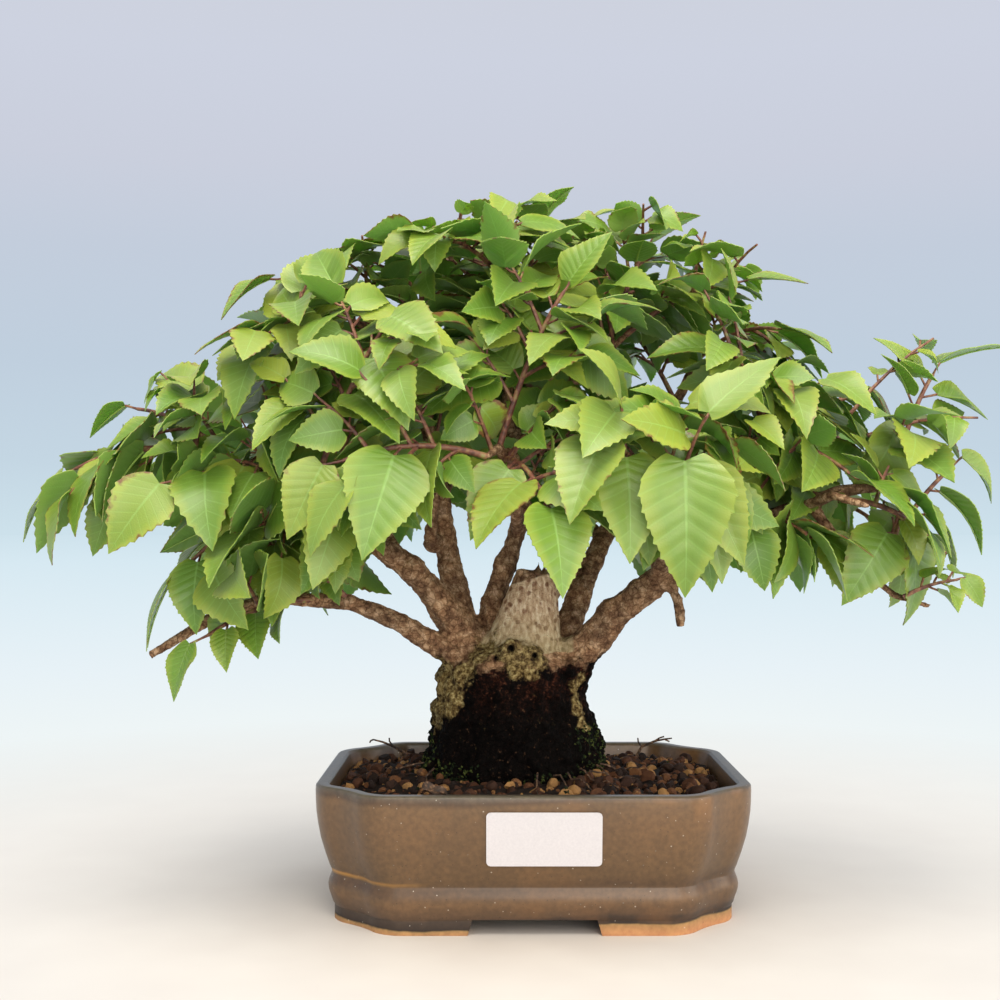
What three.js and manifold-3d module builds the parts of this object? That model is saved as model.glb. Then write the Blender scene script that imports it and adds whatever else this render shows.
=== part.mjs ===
// Korean hornbeam bonsai in a glazed stoneware pot, in millimetres, with +Z up.
// Everything is placed from the middle of the pot, and the whole is centred on its outline at the end.
import * as THREE from 'three';
import Module from 'manifold-3d';

const wasm = await Module();
wasm.setup();

// Room kept between pieces that touch on the real thing, and the finest step kept where shapes are fused
const ROOM = 0.3;
const SEAM_TOLERANCE = 0.1;

// Pot: half sizes at the rim, and the cut of its corners
const POT_HALF_WIDTH = 76.5;
const POT_HALF_DEPTH = 59;
const CORNER_CUT = 21;
const CORNER_HOLLOW = 2;
const CORNER_SOFT = 3;
const CORNER_EASE = 1.6;
const CORNER_TAPER = 0.4;
const FLOOR_TOP = 11;
const FOOT_HEIGHT = 5;
const FOOT_SINK = 1;
const FOOT_INSET = 6.8;
const FOOT_BEVEL = 0.6;
const FOOT_WALL = 9;
const FOOT_GAP_FRONT = 21;
const FOOT_GAP_SIDE = 15;
const FOOT_GAP_SLANT = 1.6;
const DRAIN_X = 32;
const DRAIN_RADIUS = 6;
const DRAIN_SIDES = 14;

// Height and inset from the rim's outline, up the outside of the pot and down its inside
const POT_PROFILE = [
  [5, 6.3], [6.4, 5.7], [9.6, 4.8], [12.4, 4.4], [14.6, 4.8], [16.2, 5.6], [18, 5],
  [29, 1.8], [38, 0.4], [45.4, 0.1], [47.1, 0.2], [47.7, 0.9], [47.7, 4], [46.8, 4.8], [11, 12.5],
];
const WALL_FOOT = 7;

// Drain screens under the soil
const SCREEN_SIDE = 20;
const SCREEN_THICKNESS = 1.2;
const SCREEN_BAR = 2.4;
const SCREEN_BARS = 3;

// Soil, with granules as a relief larger than life
const SOIL_COLUMNS = 48;
const SOIL_RINGS = 5;
const SOIL_AT_WALL = 42.6;
const SOIL_AT_TRUNK = 45.6;
const SOIL_WALL_ROOM = 0.7;
const SOIL_WALL_INSET = 5.7;
const FLOOR_INSET = 12.5;
const GRANULE_RELIEF = 1.7;
const LEAST_BUMP = 0.4;

// Label on the front of the pot
const LABEL = { width: 38.5, height: 18.5, corner: 1.5, thickness: 0.4, x: 3, z: 33.6 };

// Trunk: height, middle across, half width; the half depth is a share of the half width
const TRUNK_FOOT = 31;
const TRUNK_PROFILE = [
  [TRUNK_FOOT, -7.5, 34.5], [49, -7.5, 34.5], [53, -7.5, 33.4], [59, -7.8, 31.4], [66, -8.4, 29.6],
  [74, -8.8, 28.6], [81, -8, 29.4], [87, -6.5, 28], [92, -5, 22], [96, -4, 12],
];
const TRUNK_DEPTH_SHARE = 0.8;
const TRUNK_Y = 2;
const TRUNK_SIDES = 16;

// Lumps that run up the trunk: how many round it, how high as a share, turned by
const TRUNK_LUMPS = [[3, 0.05, 0.6], [5, 0.035, 1.9]];

// Branches that show, as points x, y, z with the radius there, chosen by eye
const LIMBS = [
  // Low left
  [[-20, 0, 82, 8], [-31, -6, 91, 5.2], [-48, -13, 102, 3.7], [-66, -18, 110, 3.2], [-94, -24, 112, 2.7],
    [-114, -28, 105, 2.4], [-135, -32, 92, 1.6]],
  // Left
  [[-16, 2, 84, 10], [-26, -3, 98, 7.2], [-38, -8, 115, 5.4], [-47, -12, 124, 4.8], [-58, -18, 132, 3.9],
    [-70, -26, 139, 3.3], [-96, -38, 156, 2.5], [-128, -34, 166, 1.4]],
  // Left of the middle
  [[-20, 4, 88, 9], [-27, 6, 104, 6], [-32, 10, 128, 4.5], [-35, 14, 148, 4.1], [-37, 16, 165, 3.6],
    [-47, 13, 204, 2.4], [-54, 8, 222, 1.4]],
  // Middle
  [[-10, 5, 88, 9], [-15, 6, 108, 5], [-9, 7, 124, 4.1], [-2, 11, 145, 3.3], [-8, 14, 169, 3.1],
    [-9, 14, 185, 2.7], [-6, 11, 207, 2.1], [-3, 5, 230, 1.3]],
  // Behind right
  [[8, 7, 86, 9], [16, 12, 103, 5.8], [22, 20, 119, 5], [29, 30, 132, 4.2], [53, 52, 174, 3],
    [66, 56, 197, 2.3], [72, 52, 214, 1.4]],
  // Right
  [[8, 0, 80, 12], [22, -4, 94, 7.6], [33, -9, 107, 6], [57, -18, 127, 4.9], [74, -24, 136, 4],
    [109, -30, 150, 2.6], [136, -27, 153, 1.4]],
];

// Boughs inside the crown, and the drooping twig at the lower right
const BOUGHS = [
  [[-58, -18, 132, 3.2], [-64, -42, 146, 2.6], [-72, -64, 152, 1.4]],
  [[-47, -12, 124, 3.4], [-62, 15, 142, 3], [-84, 38, 160, 2.4], [-104, 46, 166, 1.4]],
  [[-70, -26, 139, 2.8], [-82, -22, 160, 2.3], [-92, -14, 182, 1.4]],
  [[-5, 9, 135, 3], [-6, -22, 150, 2.6], [-12, -52, 164, 2.1], [-16, -70, 160, 1.3]],
  [[-35, 14, 148, 3], [-30, 42, 162, 2.5], [-24, 66, 170, 1.4]],
  [[-8, 14, 169, 2.6], [14, 10, 190, 2.3], [36, 2, 210, 1.4]],
  [[45, -14, 117, 3.4], [48, -40, 134, 2.8], [54, -66, 142, 1.5]],
  [[72, -23, 135, 3], [80, -14, 160, 2.5], [88, -4, 186, 1.4]],
  [[57, -18, 127, 3.2], [80, 14, 142, 2.6], [108, 38, 154, 1.4]],
  [[92, -27, 143, 2.4], [102, -48, 148, 1.9], [110, -62, 144, 1.3]],
  [[29, 30, 132, 3], [20, 56, 146, 2.3], [12, 74, 150, 1.4]],
  [[98, -29, 146, 2.4], [113, -32, 125, 1.8], [128, -30, 113, 1.4], [141, -28, 109, 1.1]],
];

// Dead snag beside the second limb, cut stub under the right limb, and the spur of the stump
const STUBS = [
  [[-32, 10, 131, 2.6], [-38, 1, 133, 3.1], [-37, -1, 142, 2.3], [-35, -3, 151, 1.1]],
  [[49, -16, 121, 2.4], [53, -17, 110, 2.2], [54, -17, 101, 1.9]],
  [[3, -1, 108, 5], [10, 1, 117, 4], [17, 4, 123, 2.6]],
];
const LIMB_SIDES = 6;
const BOUGH_SIDES = 5;

// Old cut stump in the fork: height, middle across, half width, half depth; its top rises to the right
const STUMP_PROFILE = [[86, 0, 15, 11], [100, -1, 11, 8], [108, 0, 9.5, 6.5], [114, 1, 8.5, 5.5]];
const STUMP_Y = -3;
const STUMP_SIDES = 10;
const STUMP_TOP_SLOPE = 0.45;
const STUMP_RAGGED = 1.5;

// Crown that the tips of the leafy stems lie on
const CROWN_MIDDLE = new THREE.Vector3(-10, -2, 150);
const CROWN_HALF = new THREE.Vector3(152, 88, 107);
const CROWN_ROUNDNESS = 1.55;
const CROWN_UNEVEN = [0.92, 0.12];
const LEFT_FALL = 0.15;
const LEFT_FALL_FROM = -80;
const CROWN_UNDERSIDE = -0.14;
const GOLDEN_ANGLE = Math.PI * (3 - Math.sqrt(5));

// Stem tips that the photograph shows, x, y, z, with how large their leaves are
const SEEN_TIPS = [
  [-162, -30, 158, 1.05], [-143, -20, 180, 0.9], [-122, -40, 122, 0.8], [-112, -44, 100, 0.65],
  [-96, -42, 132, 0.95], [144, -24, 192, 0.95], [150, -24, 158, 1], [146, -30, 128, 0.7],
  [122, -44, 124, 1.15], [3, -2, 248, 0.9], [-42, 4, 230, 0.9], [44, 4, 243, 0.9], [76, -10, 228, 1],
  [24, -84, 162, 1.25], [46, -86, 156, 1.45], [-62, -80, 158, 1.2], [-50, -74, 200, 1.15],
];
const RULE_TIPS = 31;
const TIP_SPACING = 27;

// Leafy stems
const STEM_REACH = 46;
const STEM_RADIUS = 1;
const STEM_TIP_RADIUS = 0.6;
const STEM_SIDES = 3;
const STEM_STEPS = 3;
const ROOT_CHOICES = 9;
const ROOT_SPACING = 9;
const ROOT_WOOD_RADIUS = 3.8;
const INWARD_SHARE = 0.15;
const BENDS = [0.18, 0.3, 0.06, -0.08];
const LEAVES_PER_STEM = 6;
const FIRST_LEAF_AT = 0.34;
const SIDE_LEAVES_END = 0.96;

// Leaves: length at the crown's foot and top, and the plate that each blade is cut from
const LEAF_LENGTH_LOW = 29;
const LEAF_LENGTH_TOP = 21;
const LEAF_LOW_Z = 110;
const LEAF_TOP_Z = 250;
const LEAF_THICKNESS = 0.9;
const STALK_WIDTH = 0.9;
const STALK_DEPTH = 0.9;
const JOINT_VOLUME = 0.5;
const LARGE_LEAF = 34;
const BLADE_FOOT = 0.01;

// Ways that the light, a stalk and a rib take: shares of ahead on the stem, aside, out of the crown, and up
const SUN_WAY = { out: 0.7, up: 0.7 };
const STALK_WAY = { ahead: 0.55, aside: 0.8, up: 0.1 };
const RIB_WAY = { aside: 0.75, out: 0.15 };
const LOW_LEAF_SAG = 0.1;
const LARGE_LEAF_SAG = 2.2;

// Least value and spread of what is drawn for each leaf
const DRAWN = {
  sag: [0.05, 0.5], ahead: [0.3, 0.3], roll: [-0.45, 0.9], size: [0.8, 0.4],
  stalk: [4, 3], width: [0.64, 0.12], droop: [0.35, 0.5], fold: [0.15, 0.2],
};

// Sag and roll tried in turn until a blade is clear of its neighbours
const POSES = [
  [0, 0], [0.35, 0], [-0.3, 0], [0, 0.5], [0, -0.5], [0.7, 0.35], [0.7, -0.35], [-0.6, 0], [1.1, 0],
];

// Half a blade, as shares of its length and width: its edge from foot to tip, and the bends of its rib.
// In the edge each notch has the blade's thickness, and the point of the tooth after it is sharp.
const LARGE_CUT = {
  edge: [[-0.05, 0.22], [0.24, 0.5], [0.3, 0.42], [0.54, 0.4], [0.6, 0.31], [0.8, 0.2]],
  ribs: [0.3, 0.64],
};
const SMALL_CUT = {
  edge: [[-0.04, 0.22], [0.26, 0.5], [0.36, 0.4], [0.66, 0.3]],
  ribs: [0.42],
};

// Dry stems that stand in the soil, as points with a radius
const DRY_STEMS = {
  dry_stem_left: [[-47, 30, 38, 0.8], [-49, 30, 46, 0.8], [-56, 27, 51, 0.7], [-62, 24, 54, 0.6]],
  dry_stem_right: [[42, 34, 38, 0.8], [43, 34, 46, 0.8], [50, 33, 52, 0.7], [57, 33, 53, 0.6]],
};

const UP = new THREE.Vector3(0, 0, 1);
const FIRST_ACROSS = new THREE.Vector3(0.31, 0.87, 0.38);

// Seeded random numbers from 0 to 1
function seeded(seed) {
  let state = seed >>> 0;
  return () => {
    state = (state + 0x6d2b79f5) >>> 0;
    let mixed = Math.imul(state ^ (state >>> 15), state | 1);
    mixed ^= mixed + Math.imul(mixed ^ (mixed >>> 7), mixed | 61);
    return ((mixed ^ (mixed >>> 14)) >>> 0) / 4294967296;
  };
}

// A value from its least upward over its spread
function vary([least, spread], draw) {
  return least + spread * draw();
}

function point(x, y, z) {
  return new THREE.Vector3(x, y, z);
}

// Closed solid from corner points and triangles that turn anticlockwise seen from outside
function solidOf(points, triangles) {
  const vertProperties = new Float32Array(points.flatMap((p) => [p.x, p.y, p.z]));
  const triVerts = new Uint32Array(triangles);
  return new wasm.Manifold(new wasm.Mesh({ numProp: 3, vertProperties, triVerts }));
}

// Closed solid from a three.js geometry
function solidOfGeometry(geometry) {
  const position = geometry.getAttribute('position');
  const corners = [];
  const seen = new Map();
  const ids = Array.from({ length: position.count }, (_, i) => {
    const corner = new THREE.Vector3().fromBufferAttribute(position, i);
    const key = corner.toArray().map((value) => value.toFixed(4)).join(' ');
    if (!seen.has(key)) {
      seen.set(key, corners.length);
      corners.push(corner);
    }
    return seen.get(key);
  });
  const order = geometry.index ? Array.from(geometry.index.array) : ids.map((_, i) => i);
  return solidOf(corners, order.map((i) => ids[i]));
}

function geometryOf(solid) {
  const { vertProperties, triVerts } = solid.getMesh();
  const geometry = new THREE.BufferGeometry();
  geometry.setAttribute('position', new THREE.BufferAttribute(vertProperties, 3));
  geometry.setIndex(new THREE.BufferAttribute(triVerts, 1));
  geometry.computeVertexNormals();
  return geometry;
}

// Largest single body of a solid that a cut may have split
function largestBody(solid) {
  return solid.decompose().reduce((best, body) => (body.volume() > best.volume() ? body : best));
}

// Closed skin through rings of points that turn anticlockwise about the way they lead
function loft(rings) {
  const sides = rings[0].length;
  const triangles = [];
  for (let ring = 0; ring + 1 < rings.length; ring += 1) {
    for (let side = 0; side < sides; side += 1) {
      const here = ring * sides + side;
      const next = ring * sides + (side + 1) % sides;
      triangles.push(here, next, next + sides, here, next + sides, here + sides);
    }
  }
  const last = (rings.length - 1) * sides;
  for (let side = 1; side + 1 < sides; side += 1) {
    triangles.push(0, side + 1, side, last, last + side, last + side + 1);
  }
  return solidOf(rings.flat(), triangles);
}

// Tapering round bar along a route of points, each with the radius there
function taperedBar(route, sides, extra = 0) {
  const middles = route.map(([x, y, z]) => point(x, y, z));
  const across = FIRST_ACROSS.clone();
  const rings = route.map((entry, i) => {
    const before = middles[Math.max(i - 1, 0)];
    const after = middles[Math.min(i + 1, route.length - 1)];
    const ahead = after.clone().sub(before).normalize();
    across.addScaledVector(ahead, -across.dot(ahead)).normalize();
    const over = ahead.clone().cross(across);
    const radius = entry[3] + extra;
    const isEnd = i === route.length - 1;
    const middle = middles[i].clone().addScaledVector(ahead, isEnd ? extra : 0);
    return Array.from({ length: sides }, (_, side) => {
      const angle = 2 * Math.PI * side / sides;
      const spoke = across.clone().multiplyScalar(radius * Math.cos(angle));
      return middle.clone().add(spoke.addScaledVector(over, radius * Math.sin(angle)));
    });
  });
  return loft(rings);
}

// Outline of the pot at an inset from its rim: an oblong whose cut corners are softened and a little hollow
function potOutline(inset) {
  const w = POT_HALF_WIDTH - inset;
  const d = POT_HALF_DEPTH - inset;
  const cut = CORNER_CUT - CORNER_TAPER * inset;
  const corner = [
    [w, d - cut - CORNER_SOFT],
    [w - CORNER_SOFT, d - cut + CORNER_EASE],
    [w - cut / 2 - CORNER_HOLLOW, d - cut / 2 - CORNER_HOLLOW],
    [w - cut + CORNER_EASE, d - CORNER_SOFT],
    [w - cut - CORNER_SOFT, d],
  ];
  const half = [...corner, ...corner.map(([x, y]) => [-x, y]).reverse()];
  return [...half, ...half.map(([x, y]) => [-x, -y])];
}

function potRing(z, inset) {
  return potOutline(inset).map(([x, y]) => point(x, y, z));
}

// Bar of trapezium section that opens the gap between two feet, along Y or turned along X
function footGap(halfWidth, turned) {
  const low = halfWidth + FOOT_GAP_SLANT;
  const shape = new THREE.Shape([
    new THREE.Vector2(-low, -1),
    new THREE.Vector2(low, -1),
    new THREE.Vector2(halfWidth, FOOT_HEIGHT),
    new THREE.Vector2(-halfWidth, FOOT_HEIGHT),
  ]);
  const length = 4 * POT_HALF_WIDTH;
  const bar = new THREE.ExtrudeGeometry(shape, { depth: length, bevelEnabled: false });
  bar.translate(0, 0, -length / 2).rotateX(Math.PI / 2).rotateZ(turned ? Math.PI / 2 : 0);
  return solidOfGeometry(bar);
}

function pot() {
  const body = loft(POT_PROFILE.map(([z, inset]) => potRing(z, inset)));
  const foot = loft([
    potRing(0, FOOT_INSET + FOOT_BEVEL),
    potRing(FOOT_BEVEL, FOOT_INSET),
    potRing(FOOT_HEIGHT + FOOT_SINK, FOOT_INSET),
  ]);
  const inner = loft([potRing(-1, FOOT_INSET + FOOT_WALL), potRing(FOOT_HEIGHT, FOOT_INSET + FOOT_WALL)]);
  const gaps = footGap(FOOT_GAP_FRONT, false).add(footGap(FOOT_GAP_SIDE, true));
  const feet = foot.subtract(inner).subtract(gaps);
  const drains = [-DRAIN_X, DRAIN_X].map((x) => {
    const drain = new THREE.CylinderGeometry(DRAIN_RADIUS, DRAIN_RADIUS, 3 * FLOOR_TOP, DRAIN_SIDES);
    return solidOfGeometry(drain.rotateX(Math.PI / 2).translate(x, 0, 0));
  });
  return drains.reduce((solid, drain) => solid.subtract(drain), body.add(feet));
}

// Square plastic screen of crossed bars, on the floor over a drain hole
function drainScreen(x) {
  const bottom = FLOOR_TOP + ROOM;
  const step = (SCREEN_SIDE - SCREEN_BAR) / (SCREEN_BARS - 1);
  const bars = [];
  for (let i = 0; i < SCREEN_BARS; i += 1) {
    const offset = (i - (SCREEN_BARS - 1) / 2) * step;
    const z = bottom + SCREEN_THICKNESS / 2;
    bars.push(new THREE.BoxGeometry(SCREEN_SIDE, SCREEN_BAR, SCREEN_THICKNESS).translate(x, offset, z));
    bars.push(new THREE.BoxGeometry(SCREEN_BAR, SCREEN_SIDE, SCREEN_THICKNESS).translate(x + offset, 0, z));
  }
  return bars.map(solidOfGeometry).reduce((screen, bar) => screen.add(bar));
}

// Outline of the trunk at one height, swollen by lumps that run up it
function trunkRing([z, middle, halfWidth], extra = 0) {
  return Array.from({ length: TRUNK_SIDES }, (_, side) => {
    const angle = 2 * Math.PI * side / TRUNK_SIDES;
    const swell = ([count, share, turn]) => share * Math.sin(count * angle + turn);
    const lumps = 1 + TRUNK_LUMPS.map(swell).reduce((sum, each) => sum + each);
    const x = middle + (halfWidth * lumps + extra) * Math.cos(angle);
    return point(x, TRUNK_Y + (halfWidth * TRUNK_DEPTH_SHARE * lumps + extra) * Math.sin(angle), z);
  });
}

// Old stump, whose ragged cut climbs to the right
function stump(extra) {
  const rings = STUMP_PROFILE.map(([z, middle, halfWidth, halfDepth], level) => {
    const isTop = level === STUMP_PROFILE.length - 1;
    return Array.from({ length: STUMP_SIDES }, (_, side) => {
      const angle = 2 * Math.PI * side / STUMP_SIDES;
      const x = middle + (halfWidth + extra) * Math.cos(angle);
      const y = STUMP_Y + (halfDepth + extra) * Math.sin(angle);
      const rise = isTop ? STUMP_TOP_SLOPE * x + (side % 2 ? STUMP_RAGGED : 0) + extra : 0;
      return point(x, y, z + rise);
    });
  });
  return loft(rings);
}

// Trunk, stump, limbs, boughs and stubs as one piece of wood; extra thickens it all over
function wood(extra = 0) {
  const solids = [
    loft(TRUNK_PROFILE.map((level) => trunkRing(level, extra))),
    stump(extra),
    ...LIMBS.map((route) => taperedBar(route, LIMB_SIDES, extra)),
    ...[...BOUGHS, ...STUBS].map((route) => taperedBar(route, BOUGH_SIDES, extra)),
  ];
  return wasm.Manifold.union(solids);
}

// Soil: up the pot's wall, in over the granules to the trunk, and down a plain hole that the trunk stands in
function soil() {
  const draw = seeded(7);
  const outerRing = (z, inset) => {
    const corners = potOutline(inset + SOIL_WALL_ROOM).map(([x, y]) => new THREE.Vector2(x, y));
    const shape = new THREE.Shape(corners);
    shape.autoClose = true;
    return shape.getSpacedPoints(SOIL_COLUMNS).slice(0, SOIL_COLUMNS).map(({ x, y }) => point(x, y, z));
  };
  const foot = trunkRing(TRUNK_PROFILE[0], ROOM);
  const perSide = SOIL_COLUMNS / TRUNK_SIDES;
  const holeEdge = Array.from({ length: SOIL_COLUMNS }, (_, i) => {
    const side = Math.floor(i / perSide);
    return foot[side].clone().lerp(foot[(side + 1) % TRUNK_SIDES], (i % perSide) / perSide);
  });
  const wall = outerRing(SOIL_AT_WALL, SOIL_WALL_INSET);
  const isNearerX = (p, best) => p.x > 0 && Math.abs(p.y) < Math.abs(best.y);
  const start = wall.reduce((best, p, i) => (isNearerX(p, wall[best]) ? i : best), 0);
  const turn = (ring) => ring.map((_, i) => ring[(i + start) % SOIL_COLUMNS]);
  const turnedWall = turn(wall);
  const rings = [turn(outerRing(FLOOR_TOP + ROOM, FLOOR_INSET))];
  for (let ring = 0; ring <= SOIL_RINGS; ring += 1) {
    const inward = ring / SOIL_RINGS;
    const isEdge = ring === 0 || ring === SOIL_RINGS;
    rings.push(turnedWall.map((p, column) => {
      const place = p.clone().lerp(holeEdge[column], inward);
      const height = GRANULE_RELIEF * (LEAST_BUMP + (1 - LEAST_BUMP) * draw());
      const bump = (column + ring) % 2 ? -height : height;
      place.z = SOIL_AT_WALL + (SOIL_AT_TRUNK - SOIL_AT_WALL) * inward + (isEdge ? 0 : bump);
      return place;
    }));
  }
  rings.push(holeEdge.map((p) => point(p.x, p.y, TRUNK_FOOT - ROOM)));
  const screens = [-DRAIN_X, DRAIN_X].map((x) => {
    const side = SCREEN_SIDE + 2 * ROOM;
    const depth = 2 * (SCREEN_THICKNESS + 2 * ROOM);
    return solidOfGeometry(new THREE.BoxGeometry(side, side, depth).translate(x, 0, FLOOR_TOP));
  });
  const holes = Object.values(DRY_STEMS).map((route) => taperedBar(route, 6, ROOM));
  return [...screens, ...holes].reduce((solid, cut) => solid.subtract(cut), loft(rings));
}

// Blank paper label with round corners, on the sloping front of the pot
function label() {
  const w = LABEL.width / 2;
  const h = LABEL.height / 2;
  const r = LABEL.corner;
  const shape = new THREE.Shape();
  shape.moveTo(-w + r, -h);
  shape.lineTo(w - r, -h);
  shape.absarc(w - r, -h + r, r, -Math.PI / 2, 0);
  shape.absarc(w - r, h - r, r, 0, Math.PI / 2);
  shape.absarc(-w + r, h - r, r, Math.PI / 2, Math.PI);
  shape.absarc(-w + r, -h + r, r, Math.PI, 1.5 * Math.PI);
  const depth = LABEL.thickness;
  const geometry = new THREE.ExtrudeGeometry(shape, { depth, bevelEnabled: false, curveSegments: 2 });
  const [lowZ, lowInset] = POT_PROFILE[WALL_FOOT];
  const [highZ, highInset] = POT_PROFILE[WALL_FOOT + 1];
  const slope = Math.atan2(lowInset - highInset, highZ - lowZ);
  const insetThere = lowInset + (highInset - lowInset) * (LABEL.z - lowZ) / (highZ - lowZ);
  const front = insetThere - POT_HALF_DEPTH - ROOM;
  return solidOfGeometry(geometry.rotateX(Math.PI / 2 + slope).translate(LABEL.x, front, LABEL.z));
}

// Unit vector that points out of the crown at a place in it
function outwardAt(place) {
  return place.clone().sub(CROWN_MIDDLE).divide(CROWN_HALF).divide(CROWN_HALF).normalize();
}

// Stem tips: those that show, and a golden-angle spiral over the rest of the crown
function stemTips() {
  const tips = SEEN_TIPS.map(([x, y, z, leafScale]) => ({ tip: point(x, y, z), leafScale }));
  for (let k = 0; k < RULE_TIPS; k += 1) {
    const draw = seeded(500 + k);
    const rise = CROWN_UNDERSIDE + (1 - CROWN_UNDERSIDE) * (k + 0.5) / RULE_TIPS;
    const level = Math.sqrt(1 - rise * rise);
    const turn = k * GOLDEN_ANGLE;
    const total = level ** CROWN_ROUNDNESS + Math.abs(rise) ** CROWN_ROUNDNESS;
    const reach = total ** (-1 / CROWN_ROUNDNESS) * vary(CROWN_UNEVEN, draw);
    const way = point(level * Math.cos(turn), level * Math.sin(turn), rise);
    const tip = way.multiplyScalar(reach).multiply(CROWN_HALF).add(CROWN_MIDDLE);
    tip.z -= LEFT_FALL * Math.max(LEFT_FALL_FROM - tip.x, 0);
    if (tips.every((other) => other.tip.distanceTo(tip) > TIP_SPACING)) {
      tips.push({ tip, leafScale: 1 });
    }
  }
  return tips;
}

// Places on the thinner wood where a leafy stem can grow
function stemRoots() {
  const roots = [];
  [...LIMBS, ...BOUGHS].forEach((route) => {
    for (let i = 1; i < route.length; i += 1) {
      const here = point(...route[i]);
      const before = point(...route[i - 1]);
      const parts = Math.round(here.distanceTo(before) / ROOT_SPACING);
      for (let part = 0; part < parts && route[i - 1][3] < ROOT_WOOD_RADIUS; part += 1) {
        roots.push({ place: here.clone().lerp(before, part / parts), isFree: true });
      }
    }
  });
  return roots;
}

// Best few free roots for a tip: about one reach away and inward of it
function rootsFor(tip, roots) {
  const outward = outwardAt(tip);
  const cost = (root) => {
    const span = tip.clone().sub(root.place);
    const isInward = span.dot(outward) > INWARD_SHARE * span.length();
    return Math.abs(span.length() - STEM_REACH) + (isInward ? 0 : STEM_REACH);
  };
  const free = roots.filter((root) => root.isFree);
  const ranked = free.map((root) => ({ root, cost: cost(root) })).sort((a, b) => a.cost - b.cost);
  return ranked.slice(0, ROOT_CHOICES).map(({ root }) => root);
}

function stemPath(root, tip, bend) {
  const rise = bend * tip.distanceTo(root);
  const control = root.clone().lerp(tip, 0.5).addScaledVector(UP, rise);
  return new THREE.QuadraticBezierCurve3(root, control, tip);
}

function stemBar(path) {
  const route = path.getPoints(STEM_STEPS).map((p, i) => {
    const radius = STEM_RADIUS + (STEM_TIP_RADIUS - STEM_RADIUS) * i / STEM_STEPS;
    return [p.x, p.y, p.z, radius];
  });
  return taperedBar(route, STEM_SIDES);
}

// Where a leaf grows, the way its rib and face point, and its size
function leafOn(stem, index, [moreSag, moreRoll]) {
  const draw = seeded(1000 * stem.number + index);
  const isLast = index === LEAVES_PER_STEM - 1;
  const spread = SIDE_LEAVES_END - FIRST_LEAF_AT;
  const along = isLast ? 1 : FIRST_LEAF_AT + spread * index / (LEAVES_PER_STEM - 1);
  const from = stem.path.getPoint(along);
  const ahead = stem.path.getTangent(along);
  const outward = outwardAt(from);
  const sunward = outward.clone().multiplyScalar(SUN_WAY.out).addScaledVector(UP, SUN_WAY.up).normalize();
  const side = isLast ? 0 : (index % 2 ? 1 : -1);
  const aside = ahead.clone().cross(sunward).normalize().multiplyScalar(side);
  const stalkWay = ahead.clone().multiplyScalar(STALK_WAY.ahead).addScaledVector(aside, STALK_WAY.aside);
  stalkWay.addScaledVector(UP, STALK_WAY.up).normalize();
  const lowness = THREE.MathUtils.clamp((LEAF_TOP_Z - from.z) / (LEAF_TOP_Z - LEAF_LOW_Z), 0, 1);
  const weight = LOW_LEAF_SAG * lowness + LARGE_LEAF_SAG * Math.max(stem.leafScale - 1, 0);
  const sag = vary(DRAWN.sag, draw) + weight + moreSag;
  const rib = ahead.clone().multiplyScalar(vary(DRAWN.ahead, draw)).addScaledVector(aside, RIB_WAY.aside);
  rib.addScaledVector(outward, RIB_WAY.out).addScaledVector(UP, -sag).normalize();
  const face = sunward.clone().addScaledVector(rib, -sunward.dot(rib)).normalize();
  face.applyAxisAngle(rib, moreRoll + vary(DRAWN.roll, draw));
  const usual = LEAF_LENGTH_TOP + (LEAF_LENGTH_LOW - LEAF_LENGTH_TOP) * lowness;
  const length = usual * vary(DRAWN.size, draw) * stem.leafScale;
  return {
    from,
    base: from.clone().addScaledVector(stalkWay, vary(DRAWN.stalk, draw)),
    rib,
    face,
    across: face.clone().cross(rib),
    length,
    width: length * vary(DRAWN.width, draw),
    droop: vary(DRAWN.droop, draw),
    fold: vary(DRAWN.fold, draw),
  };
}

// Place on a leaf, u along its drooping rib, v across its fold in millimetres, lift off its face
function leafPoint(leaf, u, v, lift) {
  const turn = leaf.droop * u;
  const forward = leaf.length * Math.sin(turn) / leaf.droop;
  const down = leaf.length * (1 - Math.cos(turn)) / leaf.droop;
  const faceThere = leaf.face.clone().multiplyScalar(Math.cos(turn));
  faceThere.addScaledVector(leaf.rib, Math.sin(turn));
  return leaf.base.clone()
    .addScaledVector(leaf.rib, forward)
    .addScaledVector(leaf.face, -down)
    .addScaledVector(leaf.across, v * Math.cos(leaf.fold))
    .addScaledVector(faceThere, Math.abs(v) * Math.sin(leaf.fold) + lift);
}

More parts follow.
